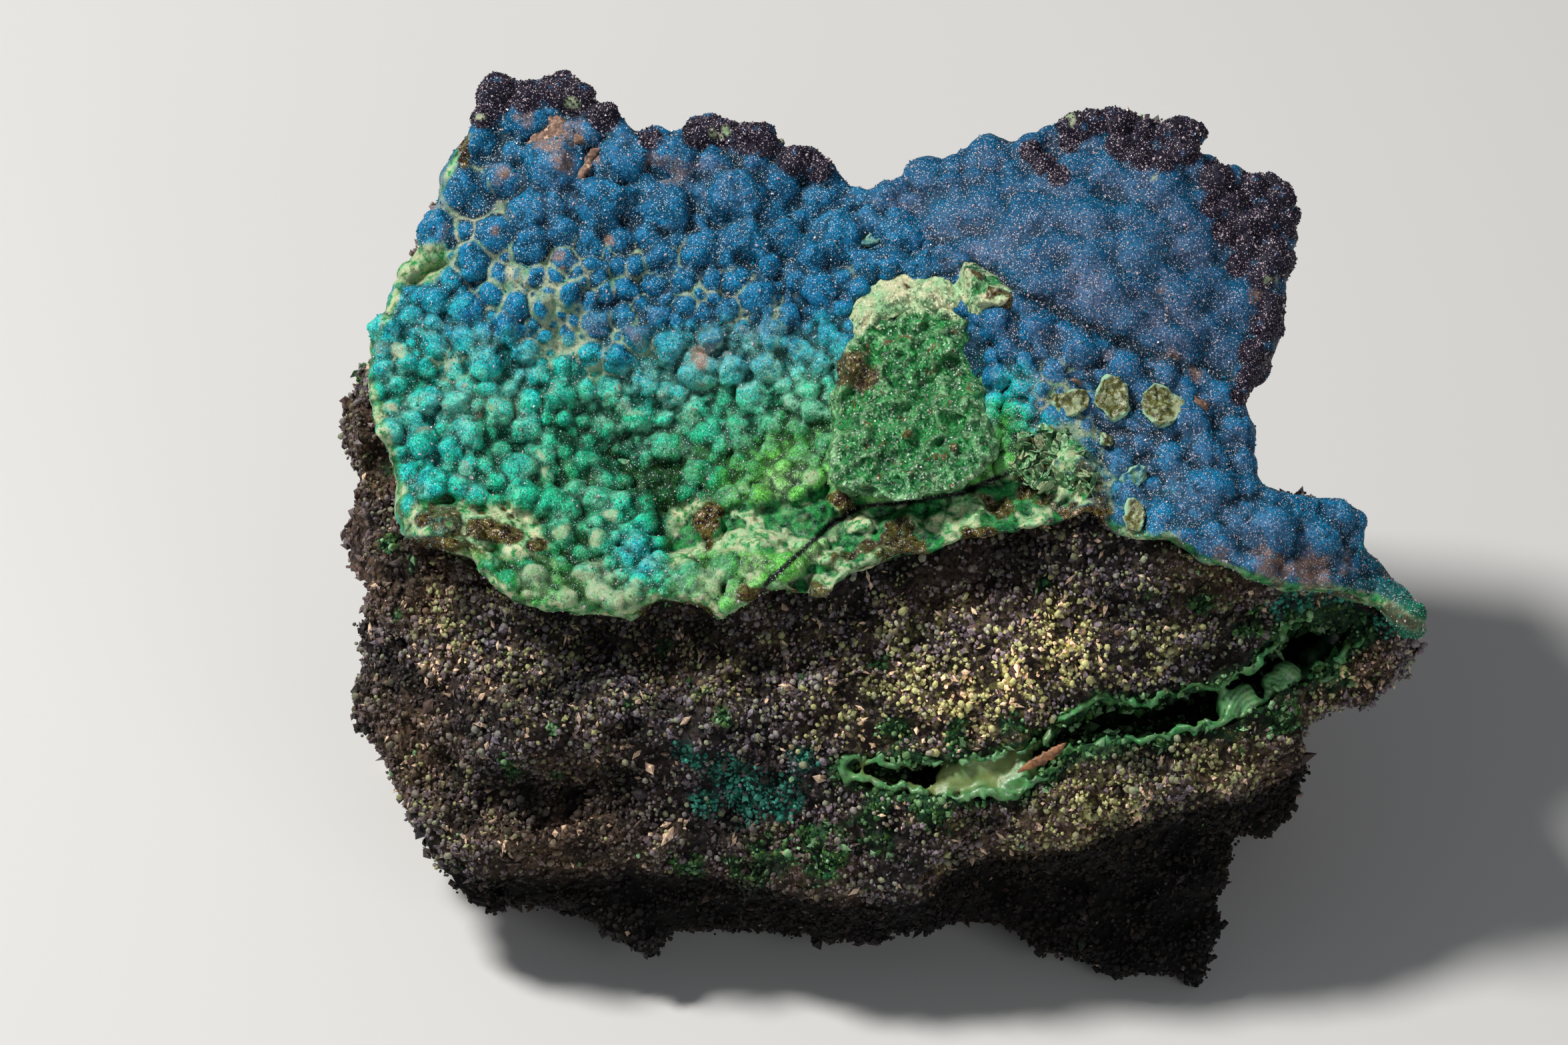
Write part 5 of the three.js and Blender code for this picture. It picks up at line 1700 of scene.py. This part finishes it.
def grain_material():
    s, c = Shader("Rock grains"), colours()
    chance, ball = s.value("chance"), s.value("ball")
    dark, grey, light, brown = c.rock_dark, c.purple_grey, c.grey_green, c.rock_brown
    crystal = s.ramp(chance, (0.0, dark), (0.35, grey), (0.6, dark), (0.8, grey), (1.0, brown))
    rounded = s.ramp(chance, (0.0, light), (0.45, grey), (0.8, light), (1.0, brown))
    s.body = s.mix(ball, crystal, rounded)
    s.cover(s.times(s.value("brown"), 0.8), c.rock_brown)
    olive_share = s.times(s.value("olive"), s.scaled(ball, 0.5, 0.5))
    olive = s.mix(s.noise(1.2), c.olive, c.grey_green)
    s.cover(s.math("GREATER_THAN", olive_share, chance), olive)
    tan_share = s.scaled(s.value("tan"), 0.44, 0.028)
    tan = s.math("GREATER_THAN", tan_share, s.rest(chance))
    s.cover(s.times(tan, s.rest(ball)), c.tan)
    # Painted light: the light pool on the front, and lighter patches on the back.
    s.shade(s.value("bright"), 0.9, (2.65, 2.4, 2.2))
    some = s.math("FRACT", s.times(chance, 7.3))
    teal = s.math("GREATER_THAN", s.times(s.value("teal"), 0.85), some)
    s.cover(teal, s.mix(chance, (0.006, 0.13, 0.09), (0.06, 0.34, 0.25)))
    green = s.math("GREATER_THAN", s.value("green"), some)
    greens = s.ramp(chance, (0.0, (0.01, 0.1, 0.03)), (0.6, c.olive_green), (1.0, c.malachite_pale))
    s.cover(green, greens)
    # Painted shade under the ledge, in the recesses and in the clefts; a few crystals there are darkened
    # less, as painted glints.
    glint = s.math("GREATER_THAN", s.math("FRACT", s.times(chance, 31.7)), s.scaled(ball, 0.06, 0.95))
    shade = s.times(s.value("shade"), s.scaled(glint, -0.3, 1.0))
    s.darken(shade, (0.045, 0.038, 0.036))
    s.shade(s.noise(0.2), 0.55, 1.3, 0.25, 0.7)
    rough = s.scaled(ball, 0.25, s.patches(0.3, 0.3, 0.7, 0.25, 0.5))
    rough = s.scaled(shade, 0.4, rough, clamp=True)
    normal = s.bump(s.noise(0.12), 0.6, 0.08)
    return s.finished(rough, normal, specular=0.35)


# ------------------------------------------------------------------ the green slab and the cream chip

SLAB_SHEET_CELL = 0.15
CHIP_VOXEL = 0.17
FLAKE_TRIES, FLAKE_COUNT = 1000, 240
SLAB_CREAM = [(-2, 15.6, 1.8), (0, 17, 2.2), (2.4, 17.6, 2.2), (4.6, 16.8, 1.9), (-3.6, 12.8, 0.8)]
SLAB_BROWN = [(-3, 11.6, 1.9), (-2.2, 11, 1.5), (4.6, 5.6, 0.5), (1.2, 6.6, 0.4)]


def slab_mesh():
    """The broken slab: scooped all over like sugar, standing above the crust."""
    solid = Solid(SEED["slab"])

    def front(a, b):
        scoops = 0.85 * conchoidal(a, b, 1.7, solid) + 0.5 * conchoidal(a, b, 0.7, solid) - 0.65
        lump = 1.3 * zone_sum(SLAB_BROWN, a, b) + 0.35 * zone_sum(SLAB_CREAM, a, b)
        worn = smooth(edge_distance(RIDGE_OUTLINE, a, b) / 0.7)
        flow = 0.35 * lattice((a - 0.8 * b) / 0.9, (a + b) / 4.5)
        return ridge_height(a, b) + scoops + lump + flow - 0.4 * (1 - worn)

    made = sheet_between("slab", RIDGE_OUTLINE, lambda a, b: top_plane(b) + 0.4, front, SLAB_SHEET_CELL)
    made = grown_together("malachite_slab", [made], sizes().ridge_voxel)
    relax(made, 2, 0.5)
    points = coordinates(made)
    face = to_face(points)
    crumbly = 0.06 * solid.noise(face, 0.5)
    face[:, :2] += 0.42 * solid.bends(face, 1.8, 3)[:, :2] * smooth((0.85 - facing(made)) / 0.6)[:, None]
    face[:, 2] += crumbly
    move_to(made, face)
    a, b = face[:, 0], face[:, 1]
    rough = solid.noise(on_plane(a, b), 0.8)
    standing = smooth((bulging(made, 6) + 0.02) / 0.08)
    border = smooth((0.7 - edge_distance(RIDGE_OUTLINE, a, b) + 0.3 * rough) / 0.5)
    keep_values(
        made,
        pale=np.clip(0.6 * standing + 0.6 * border + 0.3 * rough - 0.1, 0, 1),
        cream=smooth((zone_sum(SLAB_CREAM, a, b) + 0.3 * rough - 0.45) / 0.25),
        glassy=smooth((zone_sum(SLAB_BROWN, a, b) + 0.2 * rough - 0.45) / 0.2),
    )
    return made


def chip_mesh():
    """The cream rim along the slab's top and the chip beside it."""
    solid = Solid(SEED["chip"])

    def front(outline, rise, reach):
        def height(a, b):
            dome = smooth(edge_distance(outline, a, b) / reach)
            crumbs = 0.4 * conchoidal(a, b, 1.2, solid) + 0.22 * conchoidal(a, b, 0.5, solid)
            lift = rise if rise else np.maximum(ridge_height(a, b) - crust_height(a, b), 0.4) + 0.1
            return crust_height(a, b) + 0.1 + lift * dome + crumbs

        return height

    def back(a, b):
        return crust_height(a, b) - 1.6

    sheets = [
        sheet_between("chip", outline, back, front(outline, rise, reach), SLAB_SHEET_CELL)
        for outline, rise, reach in ((CHIP_OUTLINE, 1.3, 0.9), (CREAM_RIM, 0, 1.1))
    ]
    made = grown_together("cream_chip_skin", sheets, CHIP_VOXEL)
    relax(made, 1, 0.5)
    face = on_face(made)
    rough = solid.fractal(face, 0.9, 3)
    move_to(made, face + 0.26 * solid.bends(face, 1.6, 3))
    on_chip = smooth((face[:, 0] - 4.9) / 0.5)
    keep_values(
        made,
        pale=np.clip(0.5 + 0.5 * rough, 0, 1),
        cream=np.clip(smooth((rough + 0.5) / 0.3) + 0.8 * (1 - on_chip), 0, 1),
        glassy=smooth((solid.noise(face, 1.1) - 0.5 - 0.2 * (1 - on_chip)) / 0.15),
    )
    return made


def flakes_mesh():
    """Leafy flakes standing in a tuft right of the slab."""
    rng = np.random.default_rng(SEED["flakes"])
    a, b = rng.uniform(8.4, 15.4, FLAKE_TRIES), rng.uniform(1.8, 7.4, FLAKE_TRIES)
    kept = inside(LEAFY, a, b)
    a, b = a[kept][:FLAKE_COUNT], b[kept][:FLAKE_COUNT]
    count = len(a)
    spots = to_world(np.stack([a, b, crust_height(a, b) + rng.uniform(-0.3, 0.6, count)], 1))
    scales = rng.uniform(0.4, 0.9, count)[:, None] * np.array([1.2, 0.6, 0.1])
    leaf = ball_template(1)
    made = copies("flakes_skin", leaf, spots, scales, turned(rng, count))
    pale = rng.uniform(0.5, 1, count)
    cream = 0.7 * (rng.random(count) < 0.35)
    glassy = rng.random(count) < 0.04
    keep_values(made, len(leaf[0]), pale=pale, cream=cream, glassy=glassy)
    return made


def malachite_material():
    s, c = Shader("Broken malachite"), colours()
    druse = s.druse(0.17, 1.2, 0.12)
    deep = s.mix(s.patches(1.1, 0.35, 0.65, detail=4), (0.003, 0.06, 0.015), c.malachite)
    s.body = s.mix(s.times(s.value("pale"), s.patches(0.5, 0.35, 0.62, 0.1, 1.0)), deep, c.malachite_pale)
    s.shade(druse["Chance"], 0.55, 1.4)
    rust = s.patches(0.8, 0.6, 0.67, roughness=0.7)
    s.cover(s.times(rust, 0.8), (0.16, 0.05, 0.025))
    cream = s.mix(s.patches(1.0, 0.35, 0.65), c.cream, c.malachite_pale)
    s.cover(s.value("cream"), cream)
    s.cover(s.value("glassy"), s.glass(0.5, (0.01, 0.007, 0.005)))
    # Painted glints: crystal faces that would catch the light, none on the cream.
    lit = s.times(druse["Speck"], s.rest(s.value("cream")))
    s.cover(s.times(lit, 0.7), (0.6, 0.74, 0.58))
    height = s.scaled(s.noise(0.2), 0.6, s.noise(0.7, 4))
    rough = s.scaled(lit, -0.2, 0.36)
    normal = s.bump(height, 0.7, 0.15, druse["Normal"])
    return s.finished(rough, normal)


# ------------------------------------------------------------------ the seam's lining

LIP_STEP = 0.16
GROWTHS_A_STEP = 3
GROWTH_DEPTH = 4.2
BULB_BUMPS = 160
# Rows of larger growths: start, end, how many, radius, depth.
LINING_ROWS = [
    ((4.2, -19), (10.2, -18), 9, 0.95, 1.6), ((4.2, -19.8), (9.6, -19.2), 9, 0.7, 1.1),
    ((25.2, -13.7), (26.2, -13.1), 2, 1.15, 1.2), ((28.6, -12.3), (29.5, -11.8), 2, 0.95, 1.2),
    ((31.4, -10.2), (33.4, -9), 3, 1, 3.2), ((-3.5, -18), (-3.3, -19.4), 5, 0.36, 0.2),
]  # fmt: skip


def lining_mesh():
    """Round growths along both lips of the seam and between them."""
    rng = np.random.default_rng(SEED["lining"])
    found = []
    for start, end, count, radius, inward in LINING_ROWS:
        for t in np.linspace(0, 1, count):
            a, b = start[0] + (end[0] - start[0]) * t, start[1] + (end[1] - start[1]) * t
            size = radius * rng.uniform(0.8, 1.15)
            height = at_place(body_height, a, b) - inward
            found.append((a + rng.normal(0, 0.15), b + rng.normal(0, 0.15), height, size))
    for lip in (SEAM_UPPER_LIP, SEAM_LOWER_LIP):
        inward = -1 if lip is SEAM_UPPER_LIP else 1
        for (x0, y0), (x1, y1) in zip(lip[:-1], lip[1:]):
            length = math.hypot(x1 - x0, y1 - y0)
            across = np.array([y0 - y1, x1 - x0]) / length
            for t in np.arange(0, length, LIP_STEP):
                spot = np.array([x0 + (x1 - x0) * t / length, y0 + (y1 - y0) * t / length])
                drift = 0.4 * at_place(lattice, *(spot / 0.9))
                drift += 0.3 * at_place(lattice, spot[0] / 2.3, spot[1])
                spot += across * drift
                for _ in range(GROWTHS_A_STEP):
                    depth = rng.random() ** 1.6 * GROWTH_DEPTH
                    size = rng.uniform(0.13, 0.27) * (1 + 0.2 * depth)
                    a, b = spot + across * inward * rng.normal(-0.1, 0.16) + rng.normal(0, 0.1, 2)
                    height = at_place(body_height, a, b) + 0.1 - depth
                    found.append((a, b, height, size))
    found = np.array(found)
    large = found[(found[:, 3] > 0.6) & (found[:, 0] < 12)]
    small = bumps_on(rng, large, BULB_BUMPS, (0.2, 0.34))
    everything = np.concatenate([found, small])
    made = grown_together(
        "seam_lining_skin", [balls("lining", everything[:, :3], everything[:, 3], 2)], sizes().lining_voxel
    )
    relax(made, 1, 0.4)
    face = on_face(made)
    solid = Solid(SEED["lining bends"])
    push_out(made, 0.06 * solid.fractal(face, 0.8, 3))
    face = on_face(made)
    face += warped(solid, face, 0.4, 0.16)
    move_to(made, face)
    a, b, h = face.T
    depth = body_height(a, b) - h
    banded = found[(found[:, 3] > 0.6) & (found[:, 0] > 24) & (found[:, 0] < 30.6)]
    bulbs = [np.hypot(np.hypot(a - x, b - y), h - z) for x, y, z in banded[:, :3]]
    away = np.minimum.reduce(bulbs + [np.full(len(a), 9.0)])
    rings = 0.5 + 0.5 * np.sin(16 * np.hypot(a - 27.4, b + 14.6) + 2 * solid.noise(face, 1.2))
    plain = 0.5 + 0.5 * np.sin(9 * depth + 5 * b + 5 * solid.noise(face, 1.6))
    pale = smooth((0.4 - depth) / 0.7) * smooth((solid.noise(face, 1.5) + 0.4) / 0.6)
    keep_values(
        made,
        depth=smooth((depth - 0.4) / 2),
        bands=np.where(away < 1.4, 1.4 * rings, 0.5 * plain),
        olive=smooth((a + 4) / 2) * smooth((12 - a) / 3) * smooth(depth / 0.8),
        pale=pale * (0.45 + 0.55 * smooth((11 - a) / 4)),
    )
    return made


def lining_material():
    s, c = Shader("Waxy green lining"), colours()
    s.body = s.mix(s.patches(1.2, 0.35, 0.65), c.malachite, c.olive_green)
    s.cover(s.patches(0.5, 0.5, 0.66), (0.01, 0.06, 0.02))
    s.cover(s.value("olive"), s.mix(s.noise(0.5), c.olive_green, c.olive))
    s.cover(s.times(s.value("pale"), s.patches(0.4, 0.42, 0.6, 0, 0.5)), c.malachite_pale)
    s.cover(s.times(s.value("bands"), 0.4), c.malachite_pale)
    # Painted shade: the growths deep in the seam darken towards black.
    s.cover(s.times(s.value("depth"), 0.95), (0.002, 0.012, 0.004))
    rough = s.patches(0.7, 0.3, 0.7, 0.3, 0.5)
    normal = s.bump(s.noise(0.3, 4), 0.4, 0.1)
    return s.finished(rough, normal)


# ------------------------------------------------------------------ small inclusions


PIT_SHEET_CELL = 0.1
PIT_VOXEL = 0.14
BED_CRUMBS = 420


def pits_mesh():
    """Small broken lumps, each a shallow dish with a raised rind, and a few loose crumbs."""
    rng = np.random.default_rng(SEED["spots"])
    solid = Solid(SEED["spot crumbs"])
    parts = []

    def back(a, b):
        return crust_height(a, b) - 0.8

    for outline, kind in PITS:

        def front(a, b, outline=outline, kind=kind):
            within = edge_distance(outline, a, b)
            rind = 0.14 * np.exp(-(((within - 0.16) / 0.14) ** 2))
            crumbs = (0.5 if kind == 1 else 0.25) * conchoidal(a, b, 0.6, solid)
            crumbs = crumbs + 0.3 * conchoidal(a, b, 0.33, solid)
            return crust_height(a, b) - 0.02 + rind + crumbs

        parts.append(sheet_between("pit", outline, back, front, PIT_SHEET_CELL))
    loose = []
    for x, y, wide, high in CRUMBS:
        for _ in range(int(26 * wide * high) + 6):
            u, v = rng.normal(0, 0.42, 2)
            a, b = x + u * wide, y + v * high
            height = at_place(crust_height, a, b) + 0.45 - 0.4 * (u * u + v * v)
            loose.append((a, b, height, rng.uniform(0.18, 0.4) * min(wide, high, 1)))
    for outline in DUST_BEDS:
        low, high = np.min(outline, 0), np.max(outline, 0)
        a, b = rng.uniform(low[0], high[0], BED_CRUMBS), rng.uniform(low[1], high[1], BED_CRUMBS)
        kept = inside(outline, a, b)
        height = crust_height(a, b) + 0.05 + 0.25 * lattice(a / 0.8, b / 0.8)
        height += rng.uniform(-0.1, 0.3, BED_CRUMBS)
        loose += list(np.stack([a, b, height, rng.uniform(0.14, 0.26, BED_CRUMBS)], 1)[kept])
    loose = np.array(loose)
    made = grown_together("pits_skin", [*parts, balls("crumbs", loose[:, :3], loose[:, 3], 2)], PIT_VOXEL)
    relax(made, 1, 0.5)
    face = on_face(made)
    a, b = face[:, 0], face[:, 1]
    rough = solid.fractal(face, 0.6, 3)
    move_to(made, face + 0.26 * solid.bends(face, 0.9, 2) * (1, 1, 0.5))
    rind, pale, ring, dusty = np.zeros(len(a)), np.zeros(len(a)), np.zeros(len(a)), np.ones(len(a))
    for outline, kind in PITS:
        within = edge_distance(outline, a, b)
        mine = inside(outline, a, b) | (within < 0.15)
        dusty = np.where(mine, 0, dusty)
        rind = np.where(mine, smooth((0.1 + 0.16 * rough - within) / 0.07), rind)
        crumbly = 0.5 * (kind == 1) + 0.6 * smooth((a - 20.2) / 0.4) * (b > 6)
        pale = np.where(mine, smooth((rough + crumbly - 0.3) / 0.3), pale)
        ring = np.where(mine & (kind == 2), 1, ring)
    keep_values(made, rind=rind, pale=pale, ring=ring, dusty=dusty)
    return made


def pits_material():
    s, c = Shader("Broken spots"), colours()
    s.body = s.mix(s.patches(0.5, 0.36, 0.5, detail=4, roughness=0.65), (0.02, 0.02, 0.008), c.olive_dark)
    s.cover(s.patches(0.4, 0.5, 0.62, roughness=0.65), c.grey_green)
    s.cover(s.times(s.value("pale"), 0.7), s.mix(s.noise(0.5), c.cream, c.film_green))
    s.cover(s.value("ring"), s.mix(s.patches(0.5, 0.35, 0.6), c.blue, c.film_green))
    s.cover(s.value("rind"), c.rind_mint)
    dusty = s.mix(s.patches(0.3, 0.4, 0.66), c.dust_dark, c.dust)
    s.cover(s.value("dusty"), s.mix(s.patches(0.6, 0.6, 0.7), dusty, c.tan))
    dull = s.math("MAXIMUM", s.value("rind"), s.math("MAXIMUM", s.value("pale"), s.value("dusty")))
    rough = s.scaled(s.rest(dull), -0.5, 0.78)
    normal = s.bump(s.noise(0.18), 0.8, 0.12)
    return s.finished(rough, normal)


SPLINTER = [(9.4, -18.6, 0.5), (10.4, -18, 0.9), (11.4, -17.5, 1.0), (12.4, -16.9, 1.1), (13, -16.4, 1.2)]


def splinter_mesh():
    """A thin brown splinter lying across the seam."""
    path = np.array([(a, b, at_place(body_height, a, b) + h - 0.3) for a, b, h in SPLINTER])
    widths = np.array([0.06, 0.34, 0.42, 0.3, 0.06])
    steps = np.linspace(0, len(path) - 1, 22)
    spine = np.stack([np.interp(steps, np.arange(len(path)), path[:, k]) for k in range(3)], 1)
    wide = np.interp(steps, np.arange(len(path)), widths)
    around = np.linspace(0, 2 * math.pi, 10, endpoint=False)
    rng = np.random.default_rng(SEED["splinter"])
    ragged = 1 + 0.3 * rng.normal(0, 1, (len(spine), len(around))).clip(-1, 1)
    across = np.array([-0.5, 0.85, 0.1])
    reach = (wide[:, None] * ragged)[:, :, None]
    turn = around[None, :, None]
    rings = spine[:, None] + across * np.cos(turn) * reach + np.array([0, 0, 0.45]) * np.sin(turn) * reach
    points = np.concatenate([rings.reshape(-1, 3), spine[:1], spine[-1:]])
    count, sides = len(around), []
    for i in range(len(spine) - 1):
        for j in range(count):
            k = (j + 1) % count
            p, q, r, t = i * count + j, i * count + k, (i + 1) * count + k, (i + 1) * count + j
            sides += [(p, q, r), (p, r, t)]
    first, last, end = len(points) - 2, len(points) - 1, (len(spine) - 1) * count
    for j in range(count):
        k = (j + 1) % count
        sides += [(first, k, j), (last, end + j, end + k)]
    made = new_mesh("splinter_skin", to_world(points), sides)
    tidy = bmesh.new()
    tidy.from_mesh(made)
    bmesh.ops.recalc_face_normals(tidy, faces=tidy.faces)
    tidy.to_mesh(made)
    tidy.free()
    return made


def splinter_material():
    s = Shader("Rusty splinter")
    s.body = s.mix(s.patches(0.5, 0.35, 0.65), (0.38, 0.16, 0.06), (0.12, 0.05, 0.02))
    rough = s.patches(0.3, 0.3, 0.7, 0.35, 0.6)
    normal = s.bump(s.noise(0.2), 0.5, 0.08)
    return s.finished(rough, normal)


# ------------------------------------------------------------------ the stage


VIEW_CENTRE = (-8, 0, 10)  # place on the face
VIEW_WIDTH = 117.6 * MM
STUDIO_LIGHT = 0.12


def stage_camera():
    """The camera looks squarely at the leaned face, from far enough to keep its proportions."""
    out = Vector((0, -math.sin(FACE_LEAN), math.cos(FACE_LEAN)))
    aim = Vector(to_world([VIEW_CENTRE])[0])
    lens = bpy.data.cameras.new("Camera")
    lens.sensor_fit, lens.sensor_width, lens.lens = "HORIZONTAL", 36, 250
    camera = new_object("Camera", lens)
    camera.location = aim + out * (VIEW_WIDTH * lens.lens / lens.sensor_width)
    camera.rotation_mode = "QUATERNION"
    camera.rotation_quaternion = (-out).to_track_quat("-Z", "Y")
    lens.clip_start, lens.clip_end = 0.01, 20
    bpy.context.scene.camera = camera


def area_light(name, place, aim, size, power, colour):
    lamp = bpy.data.lights.new(name, "AREA")
    lamp.shape, lamp.size, lamp.energy, lamp.color = "DISK", size, power, colour
    made = new_object(name, lamp)
    made.location = place
    made.rotation_mode = "QUATERNION"
    made.rotation_quaternion = (Vector(aim) - Vector(place)).to_track_quat("-Z", "Y")


def stage_floor():
    floor = new_mesh("Floor", [(-3, -3, 0), (3, -3, 0), (3, 3, 0), (-3, 3, 0)], [(0, 1, 2, 3)])
    piece = new_object("Floor", floor)
    s = Shader("Pale floor")
    s.body = (0.62, 0.62, 0.61)
    floor.materials.append(s.finished(0.8))


def stage_lights():
    area_light("Key", (-0.3, 0.05, 0.52), (0, 0, 0.03), 0.13, 4.2, (1, 0.98, 0.95))
    area_light("Fill", (0.28, -0.55, 0.3), (0, 0, 0.02), 0.4, 0.95, (0.97, 0.98, 1))
    world = bpy.data.worlds.new("Studio")
    bpy.context.scene.world = world
    world.use_nodes = True
    ground = world.node_tree.nodes["Background"]
    ground.inputs["Color"].default_value = (0.9, 0.93, 1, 1)
    ground.inputs["Strength"].default_value = STUDIO_LIGHT
    bpy.context.scene.view_settings.view_transform = "Standard"


# ------------------------------------------------------------------ one button for each piece


class BuildCrust(bpy.types.Operator):
    """Grow the lumpy crust over the specimen's top"""

    bl_idname = "specimen.crust"
    bl_label = "Crust"

    def execute(self, context):
        plan, lumps = crust_lumps()
        druse, sparkles = crust_material(), sparkle_material()
        count = sizes().sparkle_crystals
        for name, side, voxel in (("bowl", -1, sizes().bowl_voxel), ("dome", 1, sizes().dome_voxel)):
            mesh = crust_mesh("crust_" + name, plan, lumps, voxel, side)
            dress_crust(mesh)
            paint_crust(mesh)
            shade_smooth(mesh)
            finish_piece("crust_" + name, mesh, druse, "cornetite_crust")
            loose = sparkle_mesh("sparkle_skin_" + name, mesh, count // 2, SEED["sparkle " + name])
            finish_piece("sparkle_" + name, loose, sparkles, None)
        return {"FINISHED"}


class BuildRock(bpy.types.Operator):
    """Roughen the broken rock and set its grains"""

    bl_idname = "specimen.rock"
    bl_label = "Rock and grains"

    def execute(self, context):
        rock = rock_mesh()
        keep_values(rock, **rock_values(coordinates(rock)))
        shade_smooth(rock)
        face = on_face(rock)
        a, b, h = face.T
        out = facing(rock)
        covered = smooth((out - 0.2) / 0.2) * shares_of([CRUST_OUTLINE], a, b, 0.6) * (h > 0)
        front = smooth((out + 0.1) / 0.4) * smooth((h + 3) / 3) * (1 - covered)
        by_crust = smooth((2 - distance_to(CRUST_FAR_EDGE, a, b)) / 0.6) * (h > rock_height(a, b) - 2.4)
        bare = (1 - covered) * (1 - by_crust) * (coordinates(rock)[:, 2] > 0.4 * MM)
        size = sizes().grain_radius
        clump = kept_value(rock, "clump")
        bare = bare * (1 - 0.96 * np.minimum(front, 1)) * (0.25 + clump)
        front = front * (0.22 + 0.8 * clump)
        open_front = front * (1 - 0.8 * seam_share(a, b, 0.8))
        material = grain_material()
        for name, kind, weight, radius, lift, rounded in (
            ("rock_balls_front", "front_balls", open_front, size, 0.55, True),
            ("rock_crystals_front", "front_crystals", open_front, 0.95 * size, 0.4, False),
            ("rock_crystals_sides", "side_crystals", bare, 1.7 * size, 0.3, False),
        ):
            rng = np.random.default_rng(SEED[kind])
            made = grains(name + "_skin", rock, rng, getattr(sizes(), kind), weight, radius, lift, rounded)
            finish_piece(name, made, material)
        finish_piece("rock", rock, rock_material(), "matrix")
        return {"FINISHED"}


class BuildSlab(bpy.types.Operator):
    """Break the green slab and the cream chip beside it"""

    bl_idname = "specimen.slab"
    bl_label = "Green slab"

    def execute(self, context):
        material = malachite_material()
        for name, made, node, rounded in (
            ("green_slab", slab_mesh, "malachite_ridge", True),
            ("cream_chip", chip_mesh, None, True),
            ("leafy_flakes", flakes_mesh, None, False),
        ):
            mesh = made()
            shade_smooth(mesh, rounded)
            finish_piece(name, mesh, material, node)
        return {"FINISHED"}


class BuildLining(bpy.types.Operator):
    """Line the seam with round green growths"""

    bl_idname = "specimen.lining"
    bl_label = "Seam lining"

    def execute(self, context):
        mesh = lining_mesh()
        shade_smooth(mesh)
        finish_piece("seam_lining", mesh, lining_material(), "seam_malachite")
        return {"FINISHED"}


class BuildInclusions(bpy.types.Operator):
    """Set the small broken spots and the splinter"""

    bl_idname = "specimen.inclusions"
    bl_label = "Inclusions"

    def execute(self, context):
        pits = pits_mesh()
        shade_smooth(pits)
        finish_piece("broken_spots", pits, pits_material(), None)
        finish_piece("splinter", splinter_mesh(), splinter_material(), None)
        return {"FINISHED"}


class BuildStage(bpy.types.Operator):
    """Set the floor, the lights and the camera"""

    bl_idname = "specimen.stage"
    bl_label = "Stage"

    def execute(self, context):
        stage_camera()
        stage_floor()
        stage_lights()
        return {"FINISHED"}


OPERATORS = (BuildCrust, BuildRock, BuildSlab, BuildLining, BuildInclusions, BuildStage)


class SpecimenPanel(bpy.types.Panel):
    """Sizes, colours and the pieces in the order they are made"""

    bl_idname = "SPECIMEN_PT_panel"
    bl_label = "Cornetite on matrix"
    bl_space_type = "VIEW_3D"
    bl_region_type = "UI"
    bl_category = "Specimen"

    def draw(self, context):
        for group in (sizes(), colours()):
            column = self.layout.column(align=True)
            for name in group.__annotations__:
                column.prop(group, name)
        column = self.layout.column(align=True)
        for operator in OPERATORS:
            column.operator(operator.bl_idname)


CLASSES = (SpecimenSizes, SpecimenColours, *OPERATORS, SpecimenPanel)


def register():
    for each in CLASSES:
        bpy.utils.register_class(each)
    setattr(bpy.types.Scene, SIZES, bpy.props.PointerProperty(type=SpecimenSizes))
    setattr(bpy.types.Scene, COLOURS, bpy.props.PointerProperty(type=SpecimenColours))


def unregister():
    for name in (SIZES, COLOURS):
        delattr(bpy.types.Scene, name)
    for each in reversed(CLASSES):
        bpy.utils.unregister_class(each)


def main():
    register()
    for operator in OPERATORS:
        family, name = operator.bl_idname.split(".")
        getattr(getattr(bpy.ops, family), name)()


if __name__ == "__main__":
    main()
